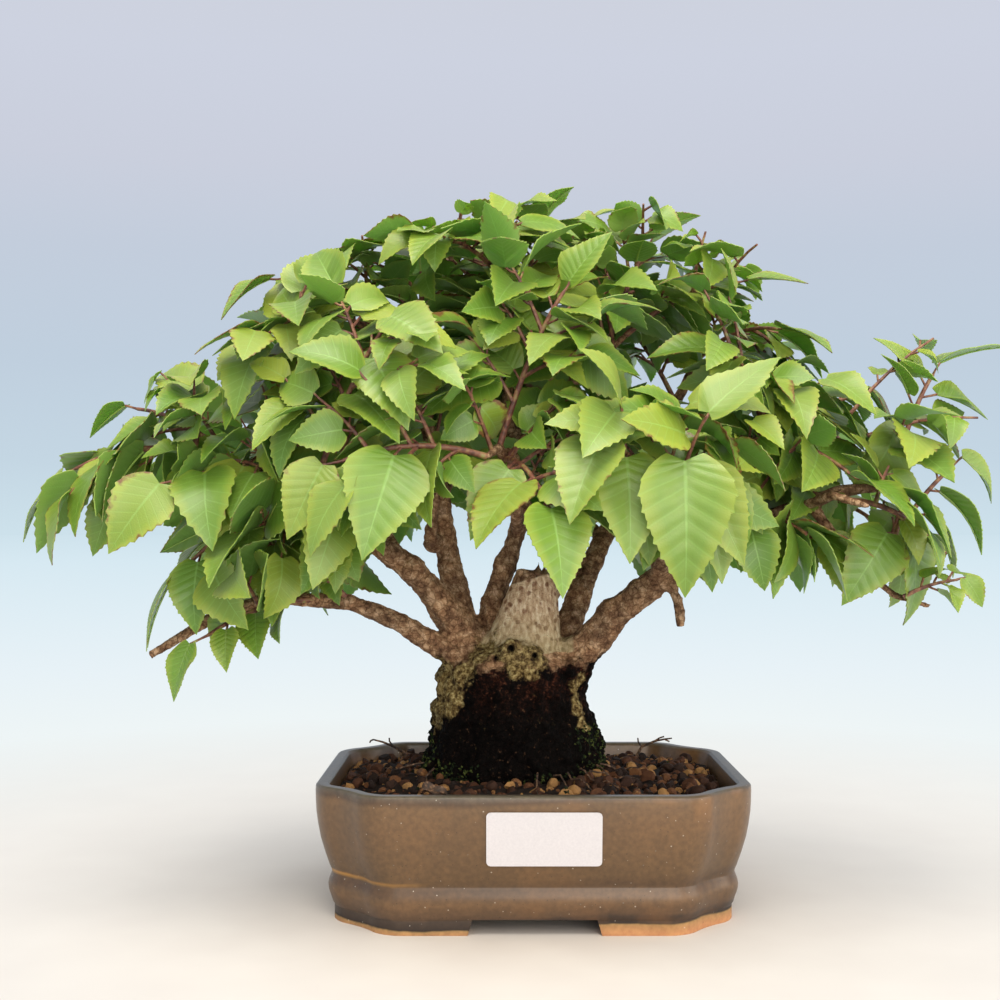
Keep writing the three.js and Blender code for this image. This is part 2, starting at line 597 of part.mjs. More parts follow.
// Blade with a toothed edge, folded on its rib, and its stalk, in one closed skin.
// Both faces are split alike, so they never cross, and they meet at the points of the teeth.
function leafSolid(leaf) {
  const { edge, ribs } = leaf.length > LARGE_LEAF ? LARGE_CUT : SMALL_CUT;
  const places = [];
  const triangles = [];
  const add = (place) => places.push(place) - 1;
  const addPair = (u, v, isSharp) => {
    const top = add(leafPoint(leaf, u, v, 0));
    return { u, top, low: isSharp ? top : add(leafPoint(leaf, u, v, -LEAF_THICKNESS)) };
  };
  const tip = addPair(1, 0, true);
  const bends = ribs.map((u) => addPair(u, 0, false));
  const footLow = add(leafPoint(leaf, BLADE_FOOT, 0, -STALK_DEPTH));
  const feet = [1, -1].map((side) => {
    const turned = (triple) => (side > 0 ? triple : triple.reverse());
    const top = add(leafPoint(leaf, BLADE_FOOT, side * STALK_WIDTH / 2, 0));
    const foot = { u: BLADE_FOOT, top, low: footLow };
    const spine = [foot, ...bends, tip];
    const rim = edge.map(([u, share], i) => addPair(u, side * share * leaf.width, i % 2 === 1));
    let i = 0;
    let j = 0;
    while (i + 1 < spine.length || j + 1 < rim.length) {
      const alongRim = j + 1 < rim.length && rim[j + 1].u <= spine[i + 1].u;
      const corners = [spine[i], alongRim ? rim[j + 1] : spine[i + 1], rim[j]];
      triangles.push(turned(corners.map((corner) => corner.top)));
      triangles.push(turned(corners.map((corner) => corner.low).reverse()));
      i += alongRim ? 0 : 1;
      j += alongRim ? 1 : 0;
    }
    const outline = [foot, ...rim, tip];
    outline.slice(1).forEach((next, k) => {
      triangles.push(turned([outline[k].low, outline[k].top, next.top]));
      triangles.push(turned([outline[k].low, next.top, next.low]));
    });
    return top;
  });
  triangles.push([feet[1], bends[0].top, feet[0]]);
  const stalkTop = [...feet, footLow];
  const offsets = [[STALK_WIDTH / 2, 0], [-STALK_WIDTH / 2, 0], [0, -STALK_DEPTH]];
  const stalkFoot = offsets.map(([aside, lift]) => (
    add(leaf.from.clone().addScaledVector(leaf.across, aside).addScaledVector(leaf.face, lift))
  ));
  for (let side = 0; side < 3; side += 1) {
    const next = (side + 1) % 3;
    triangles.push([stalkFoot[side], stalkFoot[next], stalkTop[next]]);
    triangles.push([stalkFoot[side], stalkTop[next], stalkTop[side]]);
  }
  triangles.push([stalkFoot[0], stalkFoot[2], stalkFoot[1]]);
  return solidOf(places, triangles.filter((triple) => new Set(triple).size === 3).flat());
}

// True where a solid keeps its room from all the others
function isClear(solid, others, room) {
  const box = solid.boundingBox();
  return others.every((other) => {
    const apart = [0, 1, 2].some((axis) => (
      other.box.min[axis] > box.max[axis] + room || other.box.max[axis] < box.min[axis] - room
    ));
    return apart || solid.minGap(other.solid, 2 * room) >= room;
  });
}

// True where a leaf meets its own stem at its stalk alone
function isJoinedByStalk(leaf, bar) {
  const joint = leaf.intersect(bar);
  return joint.volume() < JOINT_VOLUME && joint.decompose().length === 1;
}

function boxed(solid) {
  return { solid, box: solid.boundingBox() };
}

// One leafy stem: the first root and bend that are clear, then each leaf in the first pose that is clear
function leafyStem(number, { tip, leafScale }, roots, grown, branches, branchesWithRoom) {
  const choices = rootsFor(tip, roots).flatMap((root) => BENDS.map((bend) => ({ root, bend })));
  const tries = choices.map(({ root, bend }) => {
    const path = stemPath(root.place, tip, bend);
    return { root, path, bar: largestBody(stemBar(path).subtract(branchesWithRoom)) };
  });
  const { root, path, bar } = tries.find((choice) => isClear(choice.bar, grown, ROOM));
  root.isFree = false;
  const stem = { number, path, leafScale };
  const leaves = [];
  for (let index = 0; index < LEAVES_PER_STEM; index += 1) {
    const poses = POSES.map((pose) => boxed(leafSolid(leafOn(stem, index, pose))));
    const clear = poses.find(({ solid }) => (
      isJoinedByStalk(solid, bar) && isClear(solid, [...grown, ...leaves, branches], ROOM)
    ));
    if (clear) {
      leaves.push(clear);
    }
  }
  const fused = wasm.Manifold.union([bar, ...leaves.map(({ solid }) => solid)]);
  return largestBody(fused.simplify(SEAM_TOLERANCE));
}

function leafyStems(branches, branchesWithRoom) {
  const roots = stemRoots();
  const grown = [];
  stemTips().forEach((target, i) => {
    grown.push(boxed(leafyStem(i + 1, target, roots, grown, branches, branchesWithRoom)));
  });
  return grown.map(({ solid }) => solid);
}

const GLAZE = new THREE.MeshStandardMaterial({ color: '#75614a', roughness: 0.45, metalness: 0 });
const BARK = new THREE.MeshStandardMaterial({ color: '#7d6350', roughness: 0.9, metalness: 0 });
const GRANULES = new THREE.MeshStandardMaterial({ color: '#3f2c22', roughness: 0.95, metalness: 0 });
const PAPER = new THREE.MeshStandardMaterial({ color: '#f1efee', roughness: 0.7, metalness: 0 });
const SCREEN_PLASTIC = new THREE.MeshStandardMaterial({ color: '#2f3335', roughness: 0.6, metalness: 0 });
const DRY_WOOD = new THREE.MeshStandardMaterial({ color: '#5a4332', roughness: 0.9, metalness: 0 });
const LEAF = new THREE.MeshStandardMaterial({ color: '#6d9a3c', roughness: 0.5, metalness: 0 });

const bonsai = new THREE.Group();

function addNode(name, solid, material) {
  const mesh = new THREE.Mesh(geometryOf(solid), material.clone());
  mesh.name = name;
  bonsai.add(mesh);
}

const branches = wood();
const branchesWithRoom = wood(ROOM);

addNode('pot', pot(), GLAZE);
addNode('drain_screen_left', drainScreen(-DRAIN_X), SCREEN_PLASTIC);
addNode('drain_screen_right', drainScreen(DRAIN_X), SCREEN_PLASTIC);
addNode('soil', soil(), GRANULES);
addNode('trunk_and_branches', branches, BARK);
addNode('label', label(), PAPER);
Object.entries(DRY_STEMS).forEach(([name, route]) => addNode(name, taperedBar(route, 6), DRY_WOOD));
leafyStems(boxed(branches), branchesWithRoom).forEach((solid, i) => {
  addNode(`leafy_stem_${String(i + 1).padStart(2, '0')}`, solid, LEAF);
});

// The origin is on the ground, below the middle of the whole outline
const outline = new THREE.Box3().setFromObject(bonsai);
const middle = outline.getCenter(new THREE.Vector3());
bonsai.position.set(-middle.x, -middle.y, -outline.min.z);

export default bonsai;
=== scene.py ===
# %% [markdown]
# A Korean hornbeam bonsai in a glazed stoneware pot.
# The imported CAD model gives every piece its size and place. This lesson dresses it: a slip-cast pot with a
# speckled glaze, loose soil, rough bark, and more than a thousand toothed leaves.
# All lengths are in metres in the frame's own axes. Values read off the real tree are in millimetres
# from the middle of the pot, and one function brings them into the frame.

import math

import bmesh
import bpy
import numpy as np
from mathutils import Matrix, Quaternion, Vector
from mathutils.bvhtree import BVHTree
from mathutils.kdtree import KDTree


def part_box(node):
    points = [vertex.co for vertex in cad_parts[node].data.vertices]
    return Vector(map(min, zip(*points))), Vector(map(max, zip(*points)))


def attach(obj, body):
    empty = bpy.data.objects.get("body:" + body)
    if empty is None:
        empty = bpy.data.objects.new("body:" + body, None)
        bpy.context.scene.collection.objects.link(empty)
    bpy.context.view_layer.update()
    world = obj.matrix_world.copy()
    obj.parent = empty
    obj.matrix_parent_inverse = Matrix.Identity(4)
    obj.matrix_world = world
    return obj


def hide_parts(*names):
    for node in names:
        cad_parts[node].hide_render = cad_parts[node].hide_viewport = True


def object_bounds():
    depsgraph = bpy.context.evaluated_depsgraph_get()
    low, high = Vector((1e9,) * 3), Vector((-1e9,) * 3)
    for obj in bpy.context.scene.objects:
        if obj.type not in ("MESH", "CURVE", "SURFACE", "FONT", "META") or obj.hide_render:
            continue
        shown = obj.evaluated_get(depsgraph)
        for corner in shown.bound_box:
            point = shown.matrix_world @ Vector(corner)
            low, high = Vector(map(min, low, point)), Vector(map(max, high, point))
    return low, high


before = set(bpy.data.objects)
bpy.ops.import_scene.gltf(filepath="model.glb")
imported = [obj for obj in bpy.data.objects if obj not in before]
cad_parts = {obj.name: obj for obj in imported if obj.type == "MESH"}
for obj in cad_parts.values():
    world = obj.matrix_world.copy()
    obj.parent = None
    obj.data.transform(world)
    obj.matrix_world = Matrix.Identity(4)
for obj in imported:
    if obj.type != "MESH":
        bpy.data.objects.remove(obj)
cad_bounds = [list(corner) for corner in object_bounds()]
MM = 0.001
pot_low, pot_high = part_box("pot")
POT_MIDDLE = Vector(((pot_low.x + pot_high.x) / 2, (pot_low.y + pot_high.y) / 2, 0))


def place(x, y, z):
    """A place given in millimetres from the middle of the pot, as metres in the frame."""
    return POT_MIDDLE + Vector((x, y, z)) * MM


print("CAD box in mm:", [[round(value / MM, 1) for value in corner] for corner in cad_bounds])

# %% [markdown]
# The camera stands where the photographer stood: level with the crown, half a metre in front of the tree.
# It could be aimed with a constraint, but a fixed place and angle are plainer. The place was fitted to the
# rim and feet of the pot, so the proportions match the real view.

# %% Camera
CAMERA_PLACE = (-11.7, -508.4, 136.1)
CAMERA_TILT = math.radians(91.28)
CAMERA_LENS = 48.6

camera_data = bpy.data.cameras.new("camera")
camera_data.lens = CAMERA_LENS
camera = bpy.data.objects.new("camera", camera_data)
camera.location = place(*CAMERA_PLACE)
camera.rotation_euler = (CAMERA_TILT, 0, 0)
bpy.context.scene.collection.objects.link(camera)
bpy.context.scene.camera = camera
print("camera looks from", [round(value, 3) for value in camera.location])

# %% [markdown]
# Each colour is picked as an sRGB hex value, as a paint chart gives it, and turned to the linear values that
# the shader works in. Every material is a small tree of nodes. One function adds a node with its settings
# and links, so a material reads as a list of what feeds what. Six finishes are no more than one grain, so a
# second function builds those from their grain, ramp and relief.

# %% Helpers for materials
def linear(code, alpha=1.0):
    """Linear colour of an sRGB hex value."""
    parts = [int(code[i:i + 2], 16) / 255 for i in (1, 3, 5)]
    return (*(p / 12.92 if p <= 0.04045 else ((p + 0.055) / 1.055) ** 2.4 for p in parts), alpha)


def add(tree, kind, inputs=None, stops=None, **settings):
    """Adds a node, with its settings, the stops of a ramp, and a link or a value for each input."""
    made = tree.nodes.new("ShaderNode" + kind)
    for name, value in settings.items():
        setattr(made, name, value)
    for i, (position, colour) in enumerate(stops or []):
        stop = made.color_ramp.elements[i] if i < 2 else made.color_ramp.elements.new(position)
        stop.position = position
        stop.color = linear(colour) if isinstance(colour, str) else (colour, colour, colour, 1)
    for name, value in (inputs or {}).items():
        if isinstance(value, bpy.types.NodeSocket):
            tree.links.new(value, made.inputs[name])
        else:
            made.inputs[name].default_value = value
    return made


def new_material(name):
    """An empty material, its node tree and its output node."""
    material = bpy.data.materials.new(name)
    material.use_nodes = True
    material.node_tree.nodes.clear()
    return material, material.node_tree, add(material.node_tree, "OutputMaterial")


def grainy_material(name, grain, detail, stops, by_look=None, bump=None, **inputs):
    """A material whose colour is one noise through a ramp. The size of its grain is in mm.

    by_look is the share of the noise where the "look" mark of each point sets the tone too, and bump is
    the strength and the depth in mm of its relief.
    """
    material, tree, output = new_material(name)
    here = add(tree, "TexCoord").outputs["Object"]
    noise = add(tree, "TexNoise", {"Vector": here, "Scale": 1000 / grain, "Detail": detail}).outputs["Fac"]
    tone = noise
    if by_look:
        look = add(tree, "SeparateXYZ", {0: add(tree, "Attribute", attribute_name="look").outputs["Vector"]})
        mixed = add(tree, "Math", {0: noise, 1: by_look, 2: look.outputs["X"]}, operation="MULTIPLY_ADD")
        tone = mixed.outputs[0]
    inputs["Base Color"] = add(tree, "ValToRGB", {"Fac": tone}, stops).outputs[0]
    if bump:
        relief = add(tree, "Bump", {"Height": noise, "Strength": bump[0], "Distance": bump[1] * MM})
        inputs["Normal"] = relief.outputs[0]
    surface = add(tree, "BsdfPrincipled", {key.replace("_", " "): value for key, value in inputs.items()})
    tree.links.new(surface.outputs[0], output.inputs[0])
    return material


# Sockets of the Mix node when it mixes colours
MIX_A = 6
MIX_B = 7
MIX_OUT = 2

# %% [markdown]
# Studio light on the real tree is one wide soft source from above and in front, in a bright room, so its
# shadows are faint. Three warm area lights, above, in front and at the right, and a bright surrounding do
# the same. The surrounding is pale blue at its foot and fades to grey above, as the paper behind the real
# tree does. The floor is a plain sheet. From about six centimetres out from the middle of the tree it glows
# a little, and is half glow by about eighteen: this painted light pales the shadows on it. Further away it
# turns by steps into the glow of the backdrop, as a sheet that is swept up there would.

# %% Floor and light
FLOOR_RADIUS = 40.0
BACKDROP_FOOT = "#cde1eb"

bpy.ops.object.select_all(action="DESELECT")
bpy.ops.mesh.primitive_circle_add(vertices=64, radius=FLOOR_RADIUS, fill_type="NGON")
floor = bpy.context.object
floor.name = "floor"
paper, tree, output = new_material("matt_white_paper")
here = add(tree, "TexCoord").outputs["Object"]
fibre = add(tree, "TexNoise", {"Vector": here, "Scale": 30.0})
shade = add(tree, "ValToRGB", {"Fac": fibre.outputs["Fac"]}, [(0.3, "#d3cac1"), (0.7, "#d9d1c8")])
surface = add(tree, "BsdfPrincipled", {"Base Color": shade.outputs["Color"], "Roughness": 0.8})
away = add(tree, "VectorMath", {0: here}, operation="LENGTH")
further = add(tree, "Math", {0: away.outputs["Value"], 1: 1.0}, operation="ADD")
far = add(tree, "Math", {0: away.outputs["Value"], 1: further.outputs[0]}, operation="DIVIDE")
# Share of painted glow: from about six centimetres out it pales the floor's shadows, and far off the floor is
# all glow of the backdrop.
glow_share = add(tree, "ValToRGB", {"Fac": far.outputs[0]}, [(0.055, 0.0), (0.1, 0.3), (0.15, 0.5), (0.33, 1.0)])
backdrop = add(tree, "ValToRGB", {"Fac": far.outputs[0]}, [
    (0.0, "#f7f0e9"), (0.13, "#f5f5f3"), (0.22, "#f2f5f4"), (0.34, "#eef5f6"), (0.47, "#e8f2f7"),
    (0.64, "#e0eef5"), (0.85, "#d7e9f2"), (1.0, BACKDROP_FOOT),
])
glow = add(tree, "Emission", {"Color": backdrop.outputs[0]})
sheet = add(tree, "MixShader", {0: glow_share.outputs[0], 1: surface.outputs[0], 2: glow.outputs[0]})
tree.links.new(sheet.outputs[0], output.inputs["Surface"])
floor.data.materials.append(paper)

world = bpy.data.worlds.new("bright_room")
bpy.context.scene.world = world
world.use_nodes = True
tree = world.node_tree
tree.nodes.clear()
way = add(tree, "SeparateXYZ", {0: add(tree, "TexCoord").outputs["Generated"]})
sky = add(tree, "ValToRGB", {"Fac": way.outputs["Z"]}, [
    (0.0, BACKDROP_FOOT), (0.05, "#c4d6e3"), (0.12, "#c0cfde"), (0.2, "#c3cddc"), (0.26, "#cacfdd"),
    (0.33, "#cdd2e0"), (0.7, "#d2d2d2"),
])
light = add(tree, "Background", {"Color": sky.outputs["Color"], "Strength": 1.0})
tree.links.new(light.outputs["Background"], add(tree, "OutputWorld").inputs["Surface"])

LAMP_TINT = (1.0, 0.94, 0.84)
LAMP_AIM = Vector((0, 0, 0.13))


def soft_light(name, where, side, power):
    """A square area light that faces the middle of the tree."""
    data = bpy.data.lights.new(name, "AREA")
    data.size = side
    data.energy = power
    data.color = LAMP_TINT
    lamp = bpy.data.objects.new(name, data)
    lamp.location = where
    lamp.rotation_euler = (LAMP_AIM - where).to_track_quat("-Z", "Y").to_euler()
    bpy.context.scene.collection.objects.link(lamp)


soft_light("overhead", Vector((-0.1, -0.35, 0.95)), 0.6, 9.0)
soft_light("front_fill", Vector((0.35, -1.2, 0.45)), 1.0, 12.0)
soft_light("right_fill", Vector((1.1, -0.4, 0.35)), 0.8, 5.5)
bpy.context.scene.view_settings.view_transform = "Standard"
print("floor, world and three soft lights are set")

# %% [markdown]
# Pieces are modelled as by hand: a primitive is added, its faces are picked by their place, and extrude,
# resize and inset shape it. Operators act on whatever is selected, so three helpers keep that tidy.

# %% Helpers for modelling
def select_only(*pieces):
    """Leaves edit mode and selects these pieces alone."""
    if bpy.context.mode != "OBJECT":
        bpy.ops.object.mode_set(mode="OBJECT")
    bpy.ops.object.select_all(action="DESELECT")
    for piece in pieces:
        piece.select_set(True)
        bpy.context.view_layer.objects.active = piece


def pick(kind, test):
    """In edit mode, selects the verts, edges or faces that pass a test, and nothing else."""
    bpy.context.tool_settings.mesh_select_mode = [kind == each for each in ("verts", "edges", "faces")]
    bpy.ops.mesh.select_all(action="DESELECT")
    mesh = bmesh.from_edit_mesh(bpy.context.object.data)
    chosen = [each for each in getattr(mesh, kind) if test(each)]
    for each in chosen:
        each.select_set(True)
    bmesh.update_edit_mesh(bpy.context.object.data)
    return len(chosen)


def apply(piece, kind, **settings):
    """Adds a modifier with its settings, and applies it."""
    select_only(piece)
    modifier = piece.modifiers.new(kind.lower(), kind)
    for name, value in settings.items():
        setattr(modifier, name, value)
    bpy.ops.object.modifier_apply(modifier=modifier.name)


def settle(piece, name, slot, *materials):
    """Puts a piece's place into its mesh, and gives it its name, body and materials. Its slot is not used."""
    select_only(piece)
    bpy.ops.object.transform_apply(location=True, rotation=True, scale=True)
    piece.name = name
    piece.data.name = name
    piece.data.materials.clear()
    for material in materials:
        piece.data.materials.append(material)
    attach(piece, "root")
    print(name, "has", len(piece.data.polygons), "faces")


# %% [markdown]
# The pot is slip-cast stoneware: an oblong bowl with hollowed corners, a swelling band at its foot and four
# corner feet. It could be lathed if it were round. Here one flat outline is drawn at the rim: its corners
# are cut, the middle of each cut is drawn in, and every turn is rounded. The outline is then extruded down
# the outside step by step, resized at each step, and its top is inset and extruded down for the inside.

# %% Pot: outline and wall
POT_HALF = Vector((76.5, 59, 0)) * MM
CORNER_CUT = 20 * MM
CORNER_HOLLOW = 1.8 * MM
CORNER_SOFT = 6.4 * MM
RIM_TOP = (47.7, 0.9)
OUTSIDE = [
    (47.1, 0.2), (45.4, 0.1), (41.5, 0.2), (38, 0.4), (33.5, 1), (29, 1.8), (23.5, 3.3), (18.8, 4.8),
    (17.4, 5.4), (16.3, 5.6), (15.3, 5.2), (14, 4.7), (12.4, 4.4), (10.8, 4.5), (9.2, 4.9), (7.4, 5.5),
    (6, 5.9), (5, 6.5),
]
LIP_WIDTH = 3.1 * MM
INSIDE = [(46.8, 4.8), (44, 5.4), (30, 8.4), (14, 11.6), (11, 12.9)]


def half_at(inset):
    """Half width and half depth of the pot at an inset from its rim's outline."""
    return POT_HALF.x - inset * MM, POT_HALF.y - inset * MM


def extrude_to(level, before):
    """Extrudes the selected face to a level, given as height and inset, and resizes it there."""
    rise = (level[0] - before[0]) * MM
    bpy.ops.mesh.extrude_region_move(TRANSFORM_OT_translate={"value": (0, 0, rise)})
    new, old = half_at(level[1]), half_at(before[1])
    bpy.ops.transform.resize(value=(new[0] / old[0], new[1] / old[1], 1), center_override=POT_MIDDLE)


def is_corner_cut(edge):
    """True for an edge that runs aslant, across a corner of the outline."""
    way = edge.verts[0].co - edge.verts[1].co
    return abs(way.x) > MM and abs(way.y) > MM


select_only()
bpy.ops.mesh.primitive_plane_add(size=1, location=POT_MIDDLE + Vector((0, 0, RIM_TOP[0] * MM)))
pot = bpy.context.object
bpy.ops.object.mode_set(mode="EDIT")
bpy.ops.mesh.select_all(action="SELECT")
half_width, half_depth = half_at(RIM_TOP[1])
bpy.ops.transform.resize(value=(2 * half_width, 2 * half_depth, 1), center_override=POT_MIDDLE)
bpy.ops.mesh.bevel(offset=CORNER_CUT, affect="VERTICES", segments=1, clamp_overlap=False)
pick("edges", is_corner_cut)
bpy.ops.mesh.subdivide(number_cuts=1)
pick("verts", lambda vertex: all(is_corner_cut(edge) for edge in vertex.link_edges))
middle_x, middle_y = half_width - CORNER_CUT / 2, half_depth - CORNER_CUT / 2
drawn_in = ((middle_x - CORNER_HOLLOW) / middle_x, (middle_y - CORNER_HOLLOW) / middle_y, 1)
bpy.ops.transform.resize(value=drawn_in, center_override=POT_MIDDLE)
bpy.ops.mesh.select_all(action="SELECT")
bpy.ops.mesh.bevel(offset=CORNER_SOFT, affect="VERTICES", segments=6, profile=0.5, clamp_overlap=False)
bpy.ops.mesh.select_all(action="SELECT")
for before, level in zip([RIM_TOP, *OUTSIDE], OUTSIDE):
    extrude_to(level, before)
bpy.ops.mesh.select_all(action="SELECT")
bpy.ops.mesh.normals_make_consistent(inside=False)
top = max(vertex.co.z for vertex in bmesh.from_edit_mesh(pot.data).verts)
pick("faces", lambda face: len(face.verts) > 4 and abs(face.calc_center_median().z - top) < MM / 10)
bpy.ops.mesh.inset(thickness=LIP_WIDTH)
lip_inner = (RIM_TOP[0], RIM_TOP[1] + LIP_WIDTH / MM)
for before, level in zip([lip_inner, *INSIDE], INSIDE):
    extrude_to(level, before)
print("pot wall has", len(bmesh.from_edit_mesh(pot.data).faces), "faces")

# %% [markdown]
# The feet are what is left of a ring under the pot when gaps are cut through it. The ring is an inset and
# an extrusion of the underside, and the gaps and the drain holes are Boolean cuts, as a potter cuts them
# with a wire. A bevel then softens every edge, because glaze and wet clay leave none sharp.

# %% Pot: feet and drain holes
FOOT_WALL = 9 * MM
FOOT_HEIGHT = 5 * MM
GAP_FRONT = 21 * MM
GAP_SIDE = 15 * MM
GAP_SLANT = 1.6 * MM
GAP_RISE = 0.3 * MM
DRAIN_X = 32
DRAIN_RADIUS = 6 * MM
POT_EDGE = 0.5 * MM

bottom = min(vertex.co.z for vertex in bmesh.from_edit_mesh(pot.data).verts)
pick("faces", lambda face: len(face.verts) > 4 and abs(face.calc_center_median().z - bottom) < MM / 10)
bpy.ops.mesh.inset(thickness=FOOT_WALL)
pick("faces", lambda face: len(face.verts) == 4 and abs(face.calc_center_median().z - bottom) < MM / 10)
bpy.ops.mesh.extrude_region_move(TRANSFORM_OT_translate={"value": (0, 0, -FOOT_HEIGHT)})
bpy.ops.object.mode_set(mode="OBJECT")


def cut_out(piece, tool):
    """Cuts a tool out of a piece, and removes the tool."""
    apply(piece, "BOOLEAN", operation="DIFFERENCE", object=tool, solver="EXACT")
    bpy.data.objects.remove(tool)


def foot_gap(half_width, turned):
    """A long bar of trapezium section, narrower at its top, that opens the gap between two feet."""
    select_only()
    bpy.ops.mesh.primitive_cube_add(size=1, location=POT_MIDDLE)
    bar = bpy.context.object
    bar.scale = (2 * half_width, 4 * POT_HALF.x, 2 * (FOOT_HEIGHT + GAP_RISE))
    bar.rotation_euler = (0, 0, math.pi / 2 if turned else 0)
    bpy.ops.object.mode_set(mode="EDIT")
    pick("faces", lambda face: face.normal.z < -0.9)
    spread = 1 + 2 * GAP_SLANT / half_width
    bpy.ops.transform.resize(value=(1, spread, 1) if turned else (spread, 1, 1), center_override=POT_MIDDLE)
    bpy.ops.object.mode_set(mode="OBJECT")
    return bar


cut_out(pot, foot_gap(GAP_FRONT, False))
cut_out(pot, foot_gap(GAP_SIDE, True))
for x in (-DRAIN_X, DRAIN_X):
    select_only()
    bpy.ops.mesh.primitive_cylinder_add(vertices=32, radius=DRAIN_RADIUS, depth=0.05, location=place(x, 0, 0))
    cut_out(pot, bpy.context.object)
apply(pot, "BEVEL", width=POT_EDGE, segments=3, limit_method="ANGLE", angle_limit=math.radians(24))
bpy.ops.object.shade_smooth_by_angle(angle=math.radians(50))
print("pot has", len(pot.data.polygons), "faces and is", round(pot.dimensions.z / MM, 2), "mm high")

# %% [markdown]
# The glaze is a thin brown one over buff stoneware. It is dotted by iron and by pale grit in the clay, runs
# a little darker or lighter in upright bands, and turns grey-brown where it thins on the rim. A gold streak
# lies along the top of the swelling band, stronger towards the left end. The glaze stops short of the feet,
# which are bare buff clay with a dark seam where it ends, higher on the right feet than on the left. Height
# picks the zone, and noise at the real size of each mark breaks the borders up.

# %% Glaze material
GRIT_SPACING = 1.3
BAND_WIDTH = 16

glaze, tree, output = new_material("speckled_brown_glaze")
here = add(tree, "TexCoord").outputs["Object"]
apart = add(tree, "SeparateXYZ", {0: here})
height = apart.outputs["Z"]
waver = add(tree, "TexNoise", {"Vector": here, "Scale": 1000 / 14, "Detail": 3.0})
to_right = add(tree, "MapRange", {"Value": apart.outputs["X"], "From Min": -10 * MM, "From Max": 30 * MM,
                                  "To Min": 0.3 * MM, "To Max": -2.1 * MM})
lowered = add(tree, "Math", {0: height, 1: to_right.outputs[0]}, operation="ADD")
level = add(tree, "Math", {0: waver.outputs["Fac"], 1: 2.2 * MM, 2: lowered.outputs[0]},
            operation="MULTIPLY_ADD")
share = add(tree, "MapRange", {"Value": level.outputs[0], "From Max": 50 * MM})
zones = add(tree, "ValToRGB", {"Fac": share.outputs[0]}, [
    (0.0, "#d9b883"), (0.056, "#cba873"), (0.066, "#3c2e26"), (0.09, "#4a3a31"), (0.12, "#54443a"),
    (0.14, "#735944"), (0.24, "#8e6d4e"), (0.33, "#70563f"), (0.4, "#826547"), (0.75, "#8e6d4d"),
    (0.9, "#907050"), (0.93, "#745a44"), (0.97, "#7f6f5f"),
])
rim_share = add(tree, "MapRange", {"Value": height, "From Min": 46.6 * MM, "From Max": 47.5 * MM})
rimmed = add(tree, "Mix", {0: rim_share.outputs[0], MIX_A: zones.outputs[0], MIX_B: linear("#7f7669")},
             data_type="RGBA")
upright = add(tree, "Mapping", {"Vector": here, "Scale": (1, 1, 0.3)})
bands = add(tree, "TexNoise", {"Vector": upright.outputs[0], "Scale": 1000 / BAND_WIDTH, "Detail": 6.0})
tint = add(tree, "ValToRGB", {"Fac": bands.outputs["Fac"]}, [(0.3, "#62615c"), (0.7, "#968d7d")])
body = add(tree, "Mix", {0: 0.5, MIX_A: rimmed.outputs[MIX_OUT], MIX_B: tint.outputs[0]}, data_type="RGBA",
           blend_type="OVERLAY")
cloud = add(tree, "TexNoise", {"Vector": here, "Scale": 1000 / 1.8, "Detail": 4.0})
fine = add(tree, "ValToRGB", {"Fac": cloud.outputs["Fac"]}, [(0.3, "#5f5c55"), (0.7, "#9d9a8f")])
mottled = add(tree, "Mix", {0: 0.55, MIX_A: body.outputs[MIX_OUT], MIX_B: fine.outputs[0]}, data_type="RGBA",
              blend_type="OVERLAY")
grit = add(tree, "TexVoronoi", {"Vector": here, "Scale": 1000 / GRIT_SPACING})
lottery = add(tree, "SeparateColor", {0: grit.outputs["Color"]})
sized = add(tree, "MapRange", {"Value": lottery.outputs[2], "To Min": 0.07, "To Max": 0.2})
near = add(tree, "Math", {0: grit.outputs["Distance"], 1: sized.outputs[0]}, operation="LESS_THAN")
pale_pick = add(tree, "Math", {0: lottery.outputs[0], 1: 0.88}, operation="GREATER_THAN")
dark_pick = add(tree, "Math", {0: lottery.outputs[1], 1: 0.8}, operation="GREATER_THAN")
pale = add(tree, "Math", {0: near.outputs[0], 1: pale_pick.outputs[0]}, operation="MULTIPLY")
dark = add(tree, "Math", {0: near.outputs[0], 1: dark_pick.outputs[0]}, operation="MULTIPLY")
pale_part = add(tree, "Math", {0: pale.outputs[0], 1: 0.42}, operation="MULTIPLY")
dark_part = add(tree, "Math", {0: dark.outputs[0], 1: 0.65}, operation="MULTIPLY")
with_pale = add(tree, "Mix", {0: pale_part.outputs[0], MIX_A: mottled.outputs[MIX_OUT],
                              MIX_B: linear("#d8cfbf")}, data_type="RGBA")
with_dark = add(tree, "Mix", {0: dark_part.outputs[0], MIX_A: with_pale.outputs[MIX_OUT],
                              MIX_B: linear("#33261d")}, data_type="RGBA")
patch = add(tree, "TexNoise", {"Vector": here, "Scale": 1000 / 20, "Detail": 4.0})
rust_here = add(tree, "ValToRGB", {"Fac": patch.outputs["Fac"]}, [(0.55, 0.0), (0.68, 1.0)])
rust_level = add(tree, "ValToRGB", {"Fac": share.outputs[0]}, [
    (0.1, 0.5), (0.28, 0.2), (0.5, 0.25), (0.9, 0.6), (0.96, 0.1),
])
rust = add(tree, "Math", {0: rust_here.outputs[0], 1: rust_level.outputs[0]}, operation="MULTIPLY")
rust_part = add(tree, "Math", {0: rust.outputs[0], 1: 0.55}, operation="MULTIPLY")
rusted = add(tree, "Mix", {0: rust_part.outputs[0], MIX_A: with_dark.outputs[MIX_OUT],
                           MIX_B: linear("#94663a")}, data_type="RGBA")
streak_level = add(tree, "ValToRGB", {"Fac": share.outputs[0]}, [(0.355, 0.0), (0.378, 1.0), (0.395, 0.0)])
streak_side = add(tree, "MapRange", {"Value": apart.outputs["X"], "From Min": -30 * MM, "From Max": -72 * MM})
streak = add(tree, "Math", {0: streak_level.outputs[0], 1: streak_side.outputs[0]}, operation="MULTIPLY")
